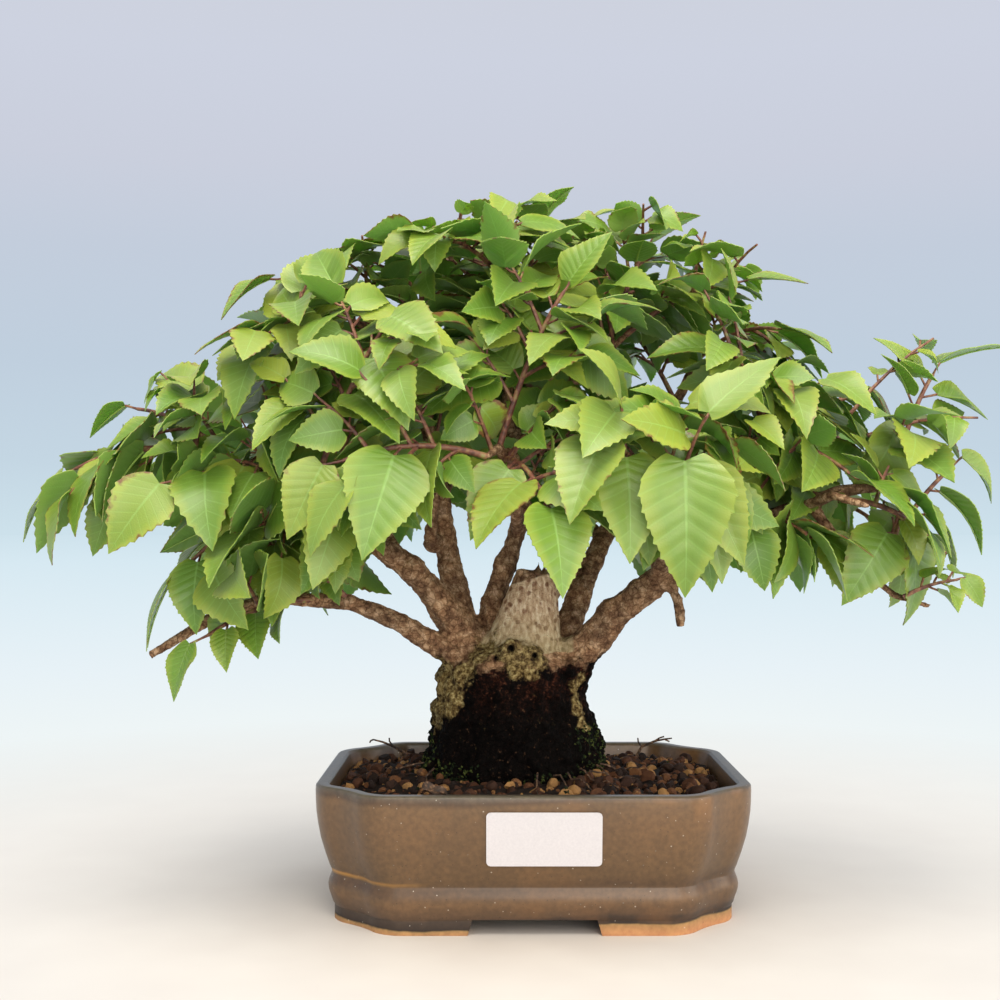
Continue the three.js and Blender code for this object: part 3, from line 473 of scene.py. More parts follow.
colour = add(tree, "Mix", {0: streak.outputs[0], MIX_A: rusted.outputs[MIX_OUT], MIX_B: linear("#c08a3e")},
             data_type="RGBA")
shine = add(tree, "ValToRGB", {"Fac": share.outputs[0]}, [
    (0.058, 0.85), (0.08, 0.45), (0.3, 0.36), (1.0, 0.33),
])
grain = add(tree, "TexNoise", {"Vector": here, "Scale": 1000 / 2.4, "Detail": 4.0})
bump = add(tree, "Bump", {"Height": grain.outputs["Fac"], "Strength": 0.3, "Distance": 0.14 * MM})
surface = add(tree, "BsdfPrincipled", {
    "Base Color": colour.outputs[MIX_OUT], "Roughness": shine.outputs[0], "Normal": bump.outputs[0],
    "IOR": 1.5,
})
tree.links.new(surface.outputs[0], output.inputs[0])
settle(pot, "pot_body", "glazed_stoneware", glaze)
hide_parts("pot")

# %% [markdown]
# The wood is known as routes: places in millimetres from the middle of the pot, each with the radius there.
# They are the same points that the solid tree was drawn along. They are kept here because the
# bark needs to know how thick the wood is at each place, and because the leafy stems grow from them.

# %% Routes of the wood
LIMBS = [
    [(-20, 0, 82, 8), (-31, -6, 91, 5.2), (-48, -13, 102, 3.7), (-66, -18, 110, 3.2), (-94, -24, 112, 2.7),
     (-114, -28, 105, 2.4), (-135, -32, 92, 1.6)],
    [(-16, 2, 84, 10), (-26, -3, 98, 7.2), (-38, -8, 115, 5.4), (-47, -12, 124, 4.8), (-58, -18, 132, 3.9),
     (-70, -26, 139, 3.3), (-96, -38, 156, 2.5), (-128, -34, 166, 1.4)],
    [(-20, 4, 88, 9), (-27, 6, 104, 6), (-32, 10, 128, 4.5), (-35, 14, 148, 4.1), (-37, 16, 165, 3.6),
     (-47, 13, 204, 2.4), (-54, 8, 222, 1.4)],
    [(-10, 5, 88, 9), (-15, 6, 108, 5), (-9, 7, 124, 4.1), (-2, 11, 145, 3.3), (-8, 14, 169, 3.1),
     (-9, 14, 185, 2.7), (-6, 11, 207, 2.1), (-3, 5, 230, 1.3)],
    [(8, 7, 86, 9), (16, 12, 103, 5.8), (22, 20, 119, 5), (29, 30, 132, 4.2), (53, 52, 174, 3),
     (66, 56, 197, 2.3), (72, 52, 214, 1.4)],
    [(8, 0, 80, 12), (22, -4, 94, 7.6), (33, -9, 107, 6), (57, -18, 127, 4.9), (74, -24, 136, 4),
     (109, -30, 150, 2.6), (136, -27, 153, 1.4)],
]
BOUGHS = [
    [(-58, -18, 132, 3.2), (-64, -42, 146, 2.6), (-72, -64, 152, 1.4)],
    [(-47, -12, 124, 3.4), (-62, 15, 142, 3), (-84, 38, 160, 2.4), (-104, 46, 166, 1.4)],
    [(-70, -26, 139, 2.8), (-82, -22, 160, 2.3), (-92, -14, 182, 1.4)],
    [(-5, 9, 135, 3), (-6, -22, 150, 2.6), (-12, -52, 164, 2.1), (-16, -70, 160, 1.3)],
    [(-35, 14, 148, 3), (-30, 42, 162, 2.5), (-24, 66, 170, 1.4)],
    [(-8, 14, 169, 2.6), (14, 10, 190, 2.3), (36, 2, 210, 1.4)],
    [(45, -14, 117, 3.4), (48, -40, 134, 2.8), (54, -66, 142, 1.5)],
    [(72, -23, 135, 3), (80, -14, 160, 2.5), (88, -4, 186, 1.4)],
    [(57, -18, 127, 3.2), (80, 14, 142, 2.6), (108, 38, 154, 1.4)],
    [(92, -27, 143, 2.4), (102, -48, 148, 1.9), (110, -62, 144, 1.3)],
    [(29, 30, 132, 3), (20, 56, 146, 2.3), (12, 74, 150, 1.4)],
    [(98, -29, 146, 2.4), (113, -32, 125, 1.8), (128, -30, 113, 1.4), (141, -28, 109, 1.1)],
]
print(len(LIMBS), "limbs and", len(BOUGHS), "boughs")

# %% [markdown]
# Small things that repeat, such as leaves, granules and moss, are each shaped once and then copied by
# number: their points are moved with numpy and gathered in one heap, which becomes one mesh. It could be
# done with instances, but an exported model loses those. Random draws are seeded, so that every run
# gives the same tree.

# %% Helpers for repeats
WORD = 0xFFFFFFFF


def seeded(seed):
    """A function that draws seeded numbers from 0 to 1."""
    state = seed & WORD

    def draw():
        nonlocal state
        state = (state + 0x6D2B79F5) & WORD
        mixed = ((state ^ (state >> 15)) * (state | 1)) & WORD
        mixed ^= (mixed + (mixed ^ (mixed >> 7)) * (mixed | 61)) & WORD
        return (mixed ^ (mixed >> 14)) / (WORD + 1)

    return draw


def vary(spread, draw):
    """A value from its least upward over its spread."""
    return spread[0] + spread[1] * draw()


class Heap:
    """Points in mm, faces and marks of many small shapes that become one mesh."""

    def __init__(self):
        self.points, self.faces, self.finishes, self.blades, self.looks = [], [], [], [], []
        self.count = 0

    def put(self, points, faces, finish=0, blade=None, look=(0, 0, 0)):
        """Adds one shape, with its finish number and the marks that its material reads."""
        self.faces += (np.asarray(faces) + self.count).tolist()
        self.finishes += [finish] * len(faces)
        self.points.append(points)
        self.blades.append(np.zeros((len(points), 3)) if blade is None else blade)
        self.looks.append(np.tile(look, (len(points), 1)))
        self.count += len(points)

    def piece(self, name, slot, *materials, angle=50):
        """Makes the heap a finished piece."""
        mesh = bpy.data.meshes.new(name)
        points = np.concatenate(self.points) * MM + np.array(POT_MIDDLE)
        mesh.from_pydata(points.tolist(), [], self.faces)
        for mark, values in (("blade", self.blades), ("look", self.looks)):
            layer = mesh.attributes.new(mark, "FLOAT_VECTOR", "POINT")
            layer.data.foreach_set("vector", np.concatenate(values).astype(np.float32).ravel())
        piece = bpy.data.objects.new(name, mesh)
        bpy.context.scene.collection.objects.link(piece)
        settle(piece, name, slot, *materials)
        mesh.polygons.foreach_set("material_index", self.finishes)
        bpy.ops.object.shade_smooth_by_angle(angle=math.radians(angle))
        return piece


FIRST_ACROSS = Vector((0.31, 0.87, 0.38))


def tube(middles, radii, sides):
    """Points and quads of a tapering tube through places, closed with pinched ends."""
    across = FIRST_ACROSS.copy()
    rings = []
    for i, middle in enumerate(middles):
        ahead = (middles[min(i + 1, len(middles) - 1)] - middles[max(i - 1, 0)]).normalized()
        across = (across - ahead * ahead.dot(across)).normalized()
        over = ahead.cross(across)
        for side in range(sides):
            angle = 2 * math.pi * side / sides
            rings.append(middle + radii[i] * (across * math.cos(angle) + over * math.sin(angle)))
    last = (len(middles) - 1) * sides
    faces = []
    for ring in range(len(middles) - 1):
        for side in range(sides):
            here, beside = ring * sides + side, ring * sides + (side + 1) % sides
            faces.append((here, beside, beside + sides, here + sides))
    for first, step in ((0, -1), (last, 1)):
        for side in range(1, sides - 1, 2):
            corners = [0, side, side + 1, (side + 2) % sides][::step]
            faces.append([first + corner for corner in corners])
    return np.array(rings), faces


def on_bend(start, control, end, t):
    """The place at a share of a bend from start to end that leans towards a control place."""
    return start * (1 - t) ** 2 + control * 2 * t * (1 - t) + end * t * t


def way_on_bend(start, control, end, t):
    """The way that a bend runs at a share of it."""
    return ((control - start) * (1 - t) + (end - control) * t).normalized()


def through(start, control, end, steps):
    """Places at even shares of a bend."""
    return [on_bend(start, control, end, step / steps) for step in range(steps + 1)]


print("helpers for repeats are ready")

# %% [markdown]
# The tree's wood grew as one piece, so it is one skin. A copy of the solid tree is merged, and the things
# that the solid leaves out are set on it: roots that flare into the soil, a lichen-crusted burl with rings
# for its holes, a wedge that fills out the stump, shards along the old saw cut, and knots. A voxel remesh
# then melts them into one even mesh, as scar tissue does on the tree, and leaves it fine enough to displace.

# %% Wood: roots, burl and shards
VOXEL = 0.85 * MM
ROOT_FLARES = 13
BURL = (-4.5, -12.5, 89.5)
BURL_HOLES = [
    ((-7.7, -19, 93.3), 2.2, 1.2), ((0.9, -18.8, 90.6), 1.8, 1), ((-13.2, -17.8, 89.6), 1.4, 0.8),
]
KNOTS = [(-43.8, -13.5, 121.6, 5.2), (-37, 6, 131, 4), (30, -8, 105, 6.4), (-10, 7, 123, 4.6)]
STUMP_WEDGE = ((-0.6, -5, 105.5), 15.2, 7.6, 31, 0.17)
SHARDS = [
    (-7.5, -3, 113, 3), (-5.5, -6, 115.5, 2.8), (-3, -6, 117.5, 3), (-1, -5, 119, 2.6),
    (2.5, -5, 121.5, 5), (5.5, -4, 120, 3), (8, -2, 120.5, 3.4), (12, 0, 121, 3.6),
    (16, 3, 123, 4), (0, 0, 119, 3), (5, 1, 121, 3),
]
SHARD_RADIUS = 2.7
FLARE_TAPER = (0.7, 1, 1.05, 0.95, 0.7, 0.4)

roots_heap = Heap()
draw = seeded(11)
for k in range(ROOT_FLARES):
    angle = 2 * math.pi * (k + 0.6 * draw()) / ROOT_FLARES
    out = Vector((math.cos(angle), 0.8 * math.sin(angle), 0))
    reach = 27 + 4 * draw()
    foot = Vector((-7.5, 2, 0)) + out * (reach + 5 + 4 * draw()) + Vector((0, 0, 43))
    top = Vector((-8, 2, 0)) + out * (25 + 3 * draw()) + Vector((0, 0, 58 + 16 * draw()))
    size = 2.6 + 1.8 * draw()
    bend = Vector((-7.5, 2, 0)) + out * (reach - 1) + Vector((0, 0, 50))
    roots_heap.put(*tube(through(top, bend, foot, 5), [size * share for share in FLARE_TAPER], 8))


def rough_piece(heap):
    """A bare object of a heap, to be melted into the wood."""
    mesh = bpy.data.meshes.new("rough")
    points = np.concatenate(heap.points) * MM + np.array(POT_MIDDLE)
    mesh.from_pydata(points.tolist(), [], heap.faces)
    rough = bpy.data.objects.new("rough", mesh)
    bpy.context.scene.collection.objects.link(rough)
    return rough


def lump(where, radius, stretch=(1, 1, 1)):
    """A small rounded swelling on the wood."""
    bpy.ops.mesh.primitive_ico_sphere_add(subdivisions=2, radius=radius * MM, location=place(*where))
    bpy.context.object.scale = stretch
    return bpy.context.object


select_only()
added = [rough_piece(roots_heap), lump(BURL, 8.5, (1.25, 0.9, 0.8))]
for where, ring, thick in BURL_HOLES:
    bpy.ops.mesh.primitive_torus_add(
        major_radius=ring * MM, minor_radius=thick * MM, major_segments=24, minor_segments=10,
        location=place(*where), rotation=(math.pi / 2, 0, 0))
    added.append(bpy.context.object)
for x, y, z, radius in KNOTS:
    added.append(lump((x, y, z), radius))
where, low_radius, high_radius, tall, lean = STUMP_WEDGE
bpy.ops.mesh.primitive_cone_add(
    vertices=14, radius1=low_radius * MM, radius2=high_radius * MM, depth=tall * MM, location=place(*where),
    rotation=(0, lean, 0))
bpy.context.object.scale = (1, 0.62, 1)
added.append(bpy.context.object)
for x, y, z, tall in SHARDS:
    bpy.ops.mesh.primitive_cone_add(
        vertices=5, radius1=SHARD_RADIUS * MM, depth=2 * tall * MM, location=place(x, y, z),
        rotation=(0.3 * draw() - 0.2, 0.5 * draw() - 0.1, 6 * draw()))
    added.append(bpy.context.object)

solid_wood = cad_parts["trunk_and_branches"]
wood = bpy.data.objects.new("wood", solid_wood.data.copy())
bpy.context.scene.collection.objects.link(wood)
select_only(wood)
bpy.ops.object.mode_set(mode="EDIT")
bpy.ops.mesh.select_all(action="SELECT")
bpy.ops.mesh.remove_doubles(threshold=MM / 100)
select_only(*added, wood)
bpy.ops.object.join()
select_only(wood)
bpy.ops.object.transform_apply(location=True, rotation=True, scale=True)
apply(wood, "REMESH", mode="VOXEL", voxel_size=VOXEL)
apply(wood, "SMOOTH", factor=0.5, iterations=4)
print("wood has", len(wood.data.polygons), "faces before the bark")

# %% [markdown]
# Bark is rough at three sizes: lumps as wide as a finger on the old trunk, ridges of about five millimetres,
# and flakes of about two. The limbs have the ridges and flakes alone. Displace modifiers with cloud textures
# push the skin out and in. A weight for each point, from how thick the wood is there, keeps the thin twigs
# from being torn, and most of the roughness off the cut stump. The points within each ring of the burl are
# pushed in last, which makes its holes.

# %% Wood: bark relief and zones
THICK_WOOD = 26
THIN_WOOD = 1.5
TRUNK_TOP = 82
FORK_TOP = 100
FORK_FADE = 16
FORK_X = -4
FORK_REACH = 32
ROUTE_STEP = 2.0
STUMP_AXIS = ((-1.8, -6, 94), (2.8, -4.5, 121))
STUMP_HALF = ((15.5, 11), (7.8, 7))
STUMP_LIP = (118.4, 0.3)
HOLE_WIDTH = 0.8
HOLE_DEPTH = 5
HOLE_REACH = 6

# Crusts of lichen as places with their reach: left margin, right strip, burl, left shoulder
LICHEN = [(-35, -8, 80, 9), (-33, -15, 74, 7), (-38, -4, 69, 8), (-27, -18, 85, 6), (-34, 8, 77, 12),
          (18, -9, 79, 4), (19, -8, 72, 4.5), (19.5, -6, 65, 3.5), (-4, -17, 87, 7), (-9, -18, 92, 5),
          (1, -18, 90, 5), (-19, -14, 93, 6), (-16, -12, 100, 4)]

samples = []
for route in LIMBS + BOUGHS:
    for before, here in zip(route, route[1:]):
        start, end = Vector(before[:3]), Vector(here[:3])
        count = max(1, round((end - start).length / ROUTE_STEP))
        for step in range(count + 1):
            share = step / count
            samples.append((start.lerp(end, share), before[3] + (here[3] - before[3]) * share))
wood_tree = KDTree(len(samples))
for i, (where, radius) in enumerate(samples):
    wood_tree.insert(where, i)
wood_tree.balance()


def thickness_at(where):
    """Radius of the wood at a place in mm: of the trunk below the fork, or of the nearest limb."""
    if where.z < TRUNK_TOP:
        return THICK_WOOD
    limb = samples[wood_tree.find(where)[1]][1]
    near_fork = Vector((where.x - FORK_X, where.y)).length < FORK_REACH
    fork = max(0, min(1, (FORK_TOP - where.z) / FORK_FADE)) if near_fork else 0
    return max(limb, THICK_WOOD * fork)


def stump_share(where):
    """How much a place lies on the pale stump, from 0 to 1."""
    low, high = STUMP_AXIS
    share = (where.z - low[2]) / (high[2] - low[2])
    if share < -0.1 or share > 1.1:
        return 0
    half_x = STUMP_HALF[0][0] + (STUMP_HALF[1][0] - STUMP_HALF[0][0]) * share
    half_y = STUMP_HALF[0][1] + (STUMP_HALF[1][1] - STUMP_HALF[0][1]) * share
    across = (where.x - low[0] - (high[0] - low[0]) * share) / half_x
    deep = (where.y - low[1]) / half_y
    lip = STUMP_LIP[0] + STUMP_LIP[1] * where.x - where.z
    return max(0, min(1, 3.4 * (1.25 - math.hypot(across, deep)), 0.4 + 0.6 * lip))


def lichen_share(where):
    """How much lichen crusts a place, from 0 to 1."""
    crusts = [1.4 - (where - Vector(spot[:3])).length / spot[3] for spot in LICHEN]
    return max(0, min(1, max(crusts) / 0.7))


places = [(vertex.co - POT_MIDDLE) / MM for vertex in wood.data.vertices]
radii = [thickness_at(where) for where in places]
stumps = [stump_share(where) for where in places]
thick = wood.vertex_groups.new(name="thick")
flaky = wood.vertex_groups.new(name="flaky")
for i, radius in enumerate(radii):
    share = max(0, min(1, (radius - THIN_WOOD) / (THICK_WOOD - THIN_WOOD)))
    thick.add([i], share * (1 - 0.8 * stumps[i]), "REPLACE")
    flaky.add([i], min(1, radius / 5) * (1 - 0.7 * stumps[i]), "REPLACE")


def roughen(size, strength, group, depth=2):
    """Displaces the wood by clouds of a size in mm."""
    clouds = bpy.data.textures.new("clouds", "CLOUDS")
    clouds.noise_scale = size * MM
    clouds.noise_depth = depth
    apply(wood, "DISPLACE", texture=clouds, strength=strength * MM, mid_level=0.5, vertex_group=group,
          texture_coords="LOCAL")


roughen(17, 4.5, "thick")
roughen(5, 3.4, "thick", 3)
roughen(1.9, 1.3, "thick", 2)
roughen(5, 1.4, "flaky")
roughen(2.2, 0.9, "flaky", 2)
open_air = [1] * len(places)
for hole in BURL_HOLES:
    (x, y, z), ring = hole[:2]
    for vertex in wood.data.vertices:
        where = (vertex.co - POT_MIDDLE) / MM
        gap = math.hypot(where.x - x, where.z - z) / (HOLE_WIDTH * ring)
        if gap < 1 and where.y < y + HOLE_REACH:
            vertex.co.y += HOLE_DEPTH * MM * (1 - gap * gap)
            open_air[vertex.index] = gap
zones = wood.data.attributes.new("look", "FLOAT_VECTOR", "POINT")
values = [(stump, air, lichen_share(where)) for stump, air, where in zip(stumps, open_air, places)]
zones.data.foreach_set("vector", np.array(values, np.float32).ravel())
print("wood has", len(wood.data.vertices), "points;", sum(s > 0.5 for s in stumps), "are on the stump")

# %% [markdown]
# Hornbeam bark is thin, tan and flaky on the limbs. The trunk's foot is dark bark with rusty patches, painted
# almost black for the shade that the crown casts on it, and its border is ragged. The sawn stump has lost its
# bark, so it is pale, smooth and dotted with reddish brown. Tan lichen crusts the burl, the left shoulder and
# both margins of the trunk. The holes of the burl are painted near black for the shade inside them. Height
# picks the dark foot, marks on each point pick the stump, the lichen and the burl's holes, and noise breaks
# every border.

# %% Bark material
bark, tree, output = new_material("flaky_hornbeam_bark")
here = add(tree, "TexCoord").outputs["Object"]
height = add(tree, "SeparateXYZ", {0: here}).outputs["Z"]
mark = add(tree, "SeparateXYZ", {0: add(tree, "Attribute", attribute_name="look").outputs["Vector"]})
flakes = add(tree, "TexNoise", {"Vector": here, "Scale": 1000 / 3.4, "Detail": 8.0, "Roughness": 0.72})
bent = add(tree, "TexNoise", {"Vector": here, "Scale": 1000 / 2.5, "Detail": 3.0})
bent_place = add(tree, "VectorMath", {0: bent.outputs["Color"], 1: (0.0025, 0.0025, 0.0025), 2: here},
                 operation="MULTIPLY_ADD")
plates = add(tree, "TexVoronoi", {"Vector": bent_place.outputs[0], "Scale": 1000 / 2.6},
             feature="DISTANCE_TO_EDGE")
crack = add(tree, "ValToRGB", {"Fac": plates.outputs["Distance"]}, [(0.01, "#7d6c5e"), (0.1, "#ffffff")])
limb = add(tree, "ValToRGB", {"Fac": flakes.outputs["Fac"]}, [
    (0.34, "#573f2c"), (0.44, "#80614a"), (0.53, "#a28263"), (0.62, "#c9ae8f"),
])
patches = add(tree, "TexNoise", {"Vector": here, "Scale": 1000 / 9, "Detail": 3.0})
rosy = add(tree, "ValToRGB", {"Fac": patches.outputs["Fac"]}, [(0.38, "#59432f"), (0.62, "#b59a80")])
limb_tint = add(tree, "Mix", {0: 0.35, MIX_A: limb.outputs[0], MIX_B: rosy.outputs[0]}, data_type="RGBA",
                blend_type="OVERLAY")
limb_cracked = add(tree, "Mix", {0: 0.55, MIX_A: limb_tint.outputs[MIX_OUT], MIX_B: crack.outputs[0]},
                   data_type="RGBA", blend_type="MULTIPLY")
crust = add(tree, "TexNoise", {"Vector": here, "Scale": 1000 / 1.6, "Detail": 5.0, "Roughness": 0.65})
lichen = add(tree, "ValToRGB", {"Fac": crust.outputs["Fac"]}, [
    (0.36, "#2b2013"), (0.46, "#5a472a"), (0.56, "#887348"), (0.68, "#b4a473"),
])
clump = add(tree, "TexNoise", {"Vector": here, "Scale": 1000 / 4, "Detail": 8.0, "Roughness": 0.7})
lichen_sum = add(tree, "Math", {0: clump.outputs["Fac"], 1: 2.4, 2: mark.outputs["Z"]},
                 operation="MULTIPLY_ADD")
lichen_part = add(tree, "MapRange", {"Value": lichen_sum.outputs[0], "From Min": 1.55, "From Max": 1.95})
dots = add(tree, "TexVoronoi", {"Vector": bent_place.outputs[0], "Scale": 1000 / 3.3})
dot = add(tree, "ValToRGB", {"Fac": dots.outputs["Distance"]}, [(0.22, "#8a553c"), (0.36, "#fcf8f2")])
grain_way = add(tree, "Mapping", {"Vector": here, "Scale": (1, 1, 0.45)})
grain = add(tree, "TexNoise", {"Vector": grain_way.outputs[0], "Scale": 1000 / 1.2, "Detail": 4.0})
stripes = add(tree, "ValToRGB", {"Fac": grain.outputs["Fac"]}, [(0.3, "#93735a"), (0.5, "#bda184"),
                                                                (0.68, "#dac8ae")])
stump_colour = add(tree, "Mix", {0: 0.75, MIX_A: stripes.outputs[0], MIX_B: dot.outputs[0]}, data_type="RGBA",
                   blend_type="MULTIPLY")
stump_edge = add(tree, "Math", {0: patches.outputs["Fac"], 1: 0.5, 2: mark.outputs["X"]},
                 operation="MULTIPLY_ADD")
stump_share_here = add(tree, "ValToRGB", {"Fac": stump_edge.outputs[0]}, [(0.55, 0.0), (0.85, 1.0)])
mossy_low = add(tree, "MapRange", {"Value": height, "From Min": 108 * MM, "From Max": 92 * MM})
mossy_part = add(tree, "Math", {0: mossy_low.outputs[0], 1: 0.45}, operation="MULTIPLY")
greened = add(tree, "Mix", {0: mossy_part.outputs[0], MIX_A: stump_colour.outputs[MIX_OUT],
                            MIX_B: linear("#9a9468")}, data_type="RGBA")
dry = add(tree, "Mix", {0: stump_share_here.outputs[0], MIX_A: limb_cracked.outputs[MIX_OUT],
                        MIX_B: greened.outputs[MIX_OUT]}, data_type="RGBA")
# The trunk's foot is dark bark, painted almost black for the shade that the crown casts on it, with rusty
# patches higher up.
foot_grain = add(tree, "TexNoise", {"Vector": here, "Scale": 1000 / 1.7, "Detail": 6.0, "Roughness": 0.7})
dark_foot_with_shade = add(tree, "ValToRGB", {"Fac": foot_grain.outputs["Fac"]}, [
    (0.34, "#030201"), (0.56, "#080403"), (0.63, "#140b07"), (0.71, "#5d4430"),
])
red_patch = add(tree, "TexNoise", {"Vector": here, "Scale": 1000 / 8, "Detail": 6.0, "Roughness": 0.6})
red_noise = add(tree, "ValToRGB", {"Fac": red_patch.outputs["Fac"]}, [(0.42, 0.0), (0.58, 1.0)])
red_level = add(tree, "MapRange", {"Value": height, "From Min": 66 * MM, "From Max": 90 * MM})
red_part = add(tree, "Math", {0: red_noise.outputs[0], 1: red_level.outputs[0]}, operation="MULTIPLY")
red_bark = add(tree, "ValToRGB", {"Fac": foot_grain.outputs["Fac"]}, [
    (0.36, "#0c0503"), (0.52, "#27130d"), (0.66, "#663826"),
])
foot = add(tree, "Mix", {0: red_part.outputs[0], MIX_A: dark_foot_with_shade.outputs[0], MIX_B: red_bark.outputs[0]},
           data_type="RGBA")
border = add(tree, "TexNoise", {"Vector": here, "Scale": 1000 / 9, "Detail": 6.0, "Roughness": 0.65})
ragged = add(tree, "Math", {0: border.outputs["Fac"], 1: 26 * MM, 2: height}, operation="MULTIPLY_ADD")
shaded_foot_share = add(tree, "MapRange", {"Value": ragged.outputs[0], "From Min": 99 * MM, "From Max": 103 * MM,
                                   "To Min": 1.0, "To Max": 0.0})
bare = add(tree, "Mix", {0: shaded_foot_share.outputs[0], MIX_A: dry.outputs[MIX_OUT], MIX_B: foot.outputs[MIX_OUT]},
           data_type="RGBA")
crusted = add(tree, "Mix", {0: lichen_part.outputs[0], MIX_A: bare.outputs[MIX_OUT],
                            MIX_B: lichen.outputs[0]}, data_type="RGBA")
# Painted shade: the holes of the burl are near black inside, darkest towards their middles.
hole_shade = add(tree, "MapRange", {"Value": mark.outputs["Y"], "From Min": 0.45, "From Max": 0.95})
colour = add(tree, "Mix", {0: hole_shade.outputs[0], MIX_A: linear("#120b06"), MIX_B: crusted.outputs[MIX_OUT]},
             data_type="RGBA")
ridges = add(tree, "Math", {0: crack.outputs[0], 1: 0.5, 2: crust.outputs["Fac"]}, operation="MULTIPLY_ADD")
bump = add(tree, "Bump", {"Height": ridges.outputs[0], "Strength": 0.8, "Distance": 0.6 * MM})
gloss = add(tree, "MapRange", {"Value": shaded_foot_share.outputs[0], "To Min": 0.85, "To Max": 0.75})
sheen = add(tree, "MapRange", {"Value": shaded_foot_share.outputs[0], "To Min": 0.2, "To Max": 0.06})
surface = add(tree, "BsdfPrincipled", {
    "Base Color": colour.outputs[MIX_OUT], "Roughness": gloss.outputs[0], "Normal": bump.outputs[0],
    "Specular IOR Level": sheen.outputs[0],
})
tree.links.new(surface.outputs[0], output.inputs[0])
settle(wood, "tree_wood", "bark", bark)
wood.vertex_groups.clear()
bpy.ops.object.shade_smooth()
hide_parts("trunk_and_branches")

# %% [markdown]
# The soil is a bed of fired clay granules, dark and damp, one to five millimetres across. A few crumbs are
# modelled: a rounded ball is cut by planes, which leaves flat broken faces. They are then strewn over the
# solid soil: each is dropped from above until a ray meets the ground, and set deeper or higher by a share
# of its size.

# %% Granules
CRUMB_KINDS = 5
CRUMB_CUTS = 5
LARGE_CRUMBS = 700
SMALL_CRUMBS = 1500
POT_ROOM = 6.4
CORNER_ROOM = 19
SOIL_WIDTH = 146
SOIL_DEPTH = 112
SOIL_FLOOR = 38
TALLEST_DROP = 80


def crumb(subdivisions, seed):
    """Points about one unit in radius and triangles of an angular crumb."""
    draw = seeded(seed)
    select_only()
    bpy.ops.mesh.primitive_ico_sphere_add(subdivisions=subdivisions, radius=1)
    rough = bpy.context.object
    bpy.ops.object.mode_set(mode="EDIT")
    bpy.ops.mesh.select_all(action="SELECT")
    stretch = [0.75 + 0.5 * draw() for axis in range(3)]
    bpy.ops.transform.resize(value=stretch, center_override=(0, 0, 0))
    for _ in range(CRUMB_CUTS if subdivisions > 1 else 0):
        way = Vector([draw() - 0.5 for axis in range(3)]).normalized()
        bpy.ops.mesh.select_all(action="SELECT")
        middle = way * (0.5 + 0.25 * draw())
        bpy.ops.mesh.bisect(plane_co=middle, plane_no=way, use_fill=True, clear_outer=True)
    bpy.ops.mesh.select_all(action="SELECT")
    bpy.ops.mesh.quads_convert_to_tris()
    bpy.ops.object.mode_set(mode="OBJECT")
    points = np.array([vertex.co for vertex in rough.data.vertices])
    faces = [tuple(face.vertices) for face in rough.data.polygons]
    bpy.data.objects.remove(rough)
    return points, faces


def inside_pot(x, y, inset):
    """True where a place lies inside the pot's outline at an inset."""
    w, d = (value / MM - inset for value in POT_HALF[:2])
    return abs(x) < w and abs(y) < d and abs(x) + abs(y) < w + d - CORNER_ROOM


def dropped(onto, x, y):
    """Where a thing that falls at a place in mm lands on a piece, or None where it misses."""
    hit, where = onto.ray_cast(place(x, y, TALLEST_DROP), (0, 0, -1))[:2]
    return where if hit else None


def strewn(count, seed, size, crumbs, heap):
    """Drops crumbs on the soil by seeded draws."""
    draw = seeded(seed)
    placed = 0
    while placed < count:
        x, y = SOIL_WIDTH * (draw() - 0.5), SOIL_DEPTH * (draw() - 0.5)
        radius = vary(size, draw) / 2
        kind, turn, tone = int(len(crumbs) * draw()), draw(), draw()
        axis = Vector([draw() - 0.5 for axis in range(3)]).normalized()
        if not inside_pot(x, y, POT_ROOM + radius):
            continue
        placed += 1
        where = dropped(soil, x, y)
        if where is None or where.z < SOIL_FLOOR * MM:
            continue
        middle = np.array((where - POT_MIDDLE) / MM) + (0, 0, radius * (0.9 * draw() - 0.35))
        points, faces = crumbs[kind]
        turned = points @ np.array(Matrix.Rotation(2 * math.pi * turn, 3, axis)).T
        heap.put(turned * radius + middle, faces, 0, None, (tone, draw(), 0))


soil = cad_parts["soil"]
crumbs = [crumb(2, 40 + k) for k in range(CRUMB_KINDS)]
small_crumbs = [crumb(1, 60 + k) for k in range(CRUMB_KINDS)]
heap = Heap()
strewn(LARGE_CRUMBS, 21, (2.3, 3.2), crumbs, heap)
strewn(SMALL_CRUMBS, 22, (0.9, 1.1), small_crumbs, heap)

soil_grain = grainy_material("damp_clay_granules", 0.8, 5.0, [
    (0.1, "#150c08"), (0.4, "#2e1b11"), (0.75, "#4d2e1c"), (0.95, "#6b4629"), (1.14, "#946d41"),
], by_look=0.25, bump=(0.6, 0.3), Roughness=0.78, Specular_IOR_Level=0.25)
granules = heap.piece("soil_granules", "granular_soil", soil_grain, angle=25)
soil.data.materials.clear()
soil.data.materials.append(soil_grain)

# %% [markdown]
# The label is a plain coated card, and the screens over the drain holes are moulded plastic. Both keep
# their solid shape, so they only need a finish.

# %% Card and plastic materials
card = grainy_material("coated_white_card", 0.7, 4.0, [
    (0.3, "#c8c3c5"), (0.7, "#d0cbcc"),
], bump=(0.1, 0.05), Roughness=0.45)
plastic = grainy_material("black_moulded_plastic", 2.0, 4.0, [
    (0.35, "#232627"), (0.7, "#3a3d3d"),
], Roughness=0.5)

for name, finish in (("label", card), ("drain_screen_left", plastic), ("drain_screen_right", plastic)):
    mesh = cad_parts[name].data
    mesh.materials.clear()
    mesh.materials.append(finish)
print("label and drain screens have their finishes")

# %% [markdown]
# Dry stems of old weeds stick out of the soil: thin, dark and hooked, each with a side hair or two. They
# stand for the solid dry stems, which are plain bars. Fine roots creep from the foot of the trunk over the
# soil; they are tubes too, laid just above the granules.

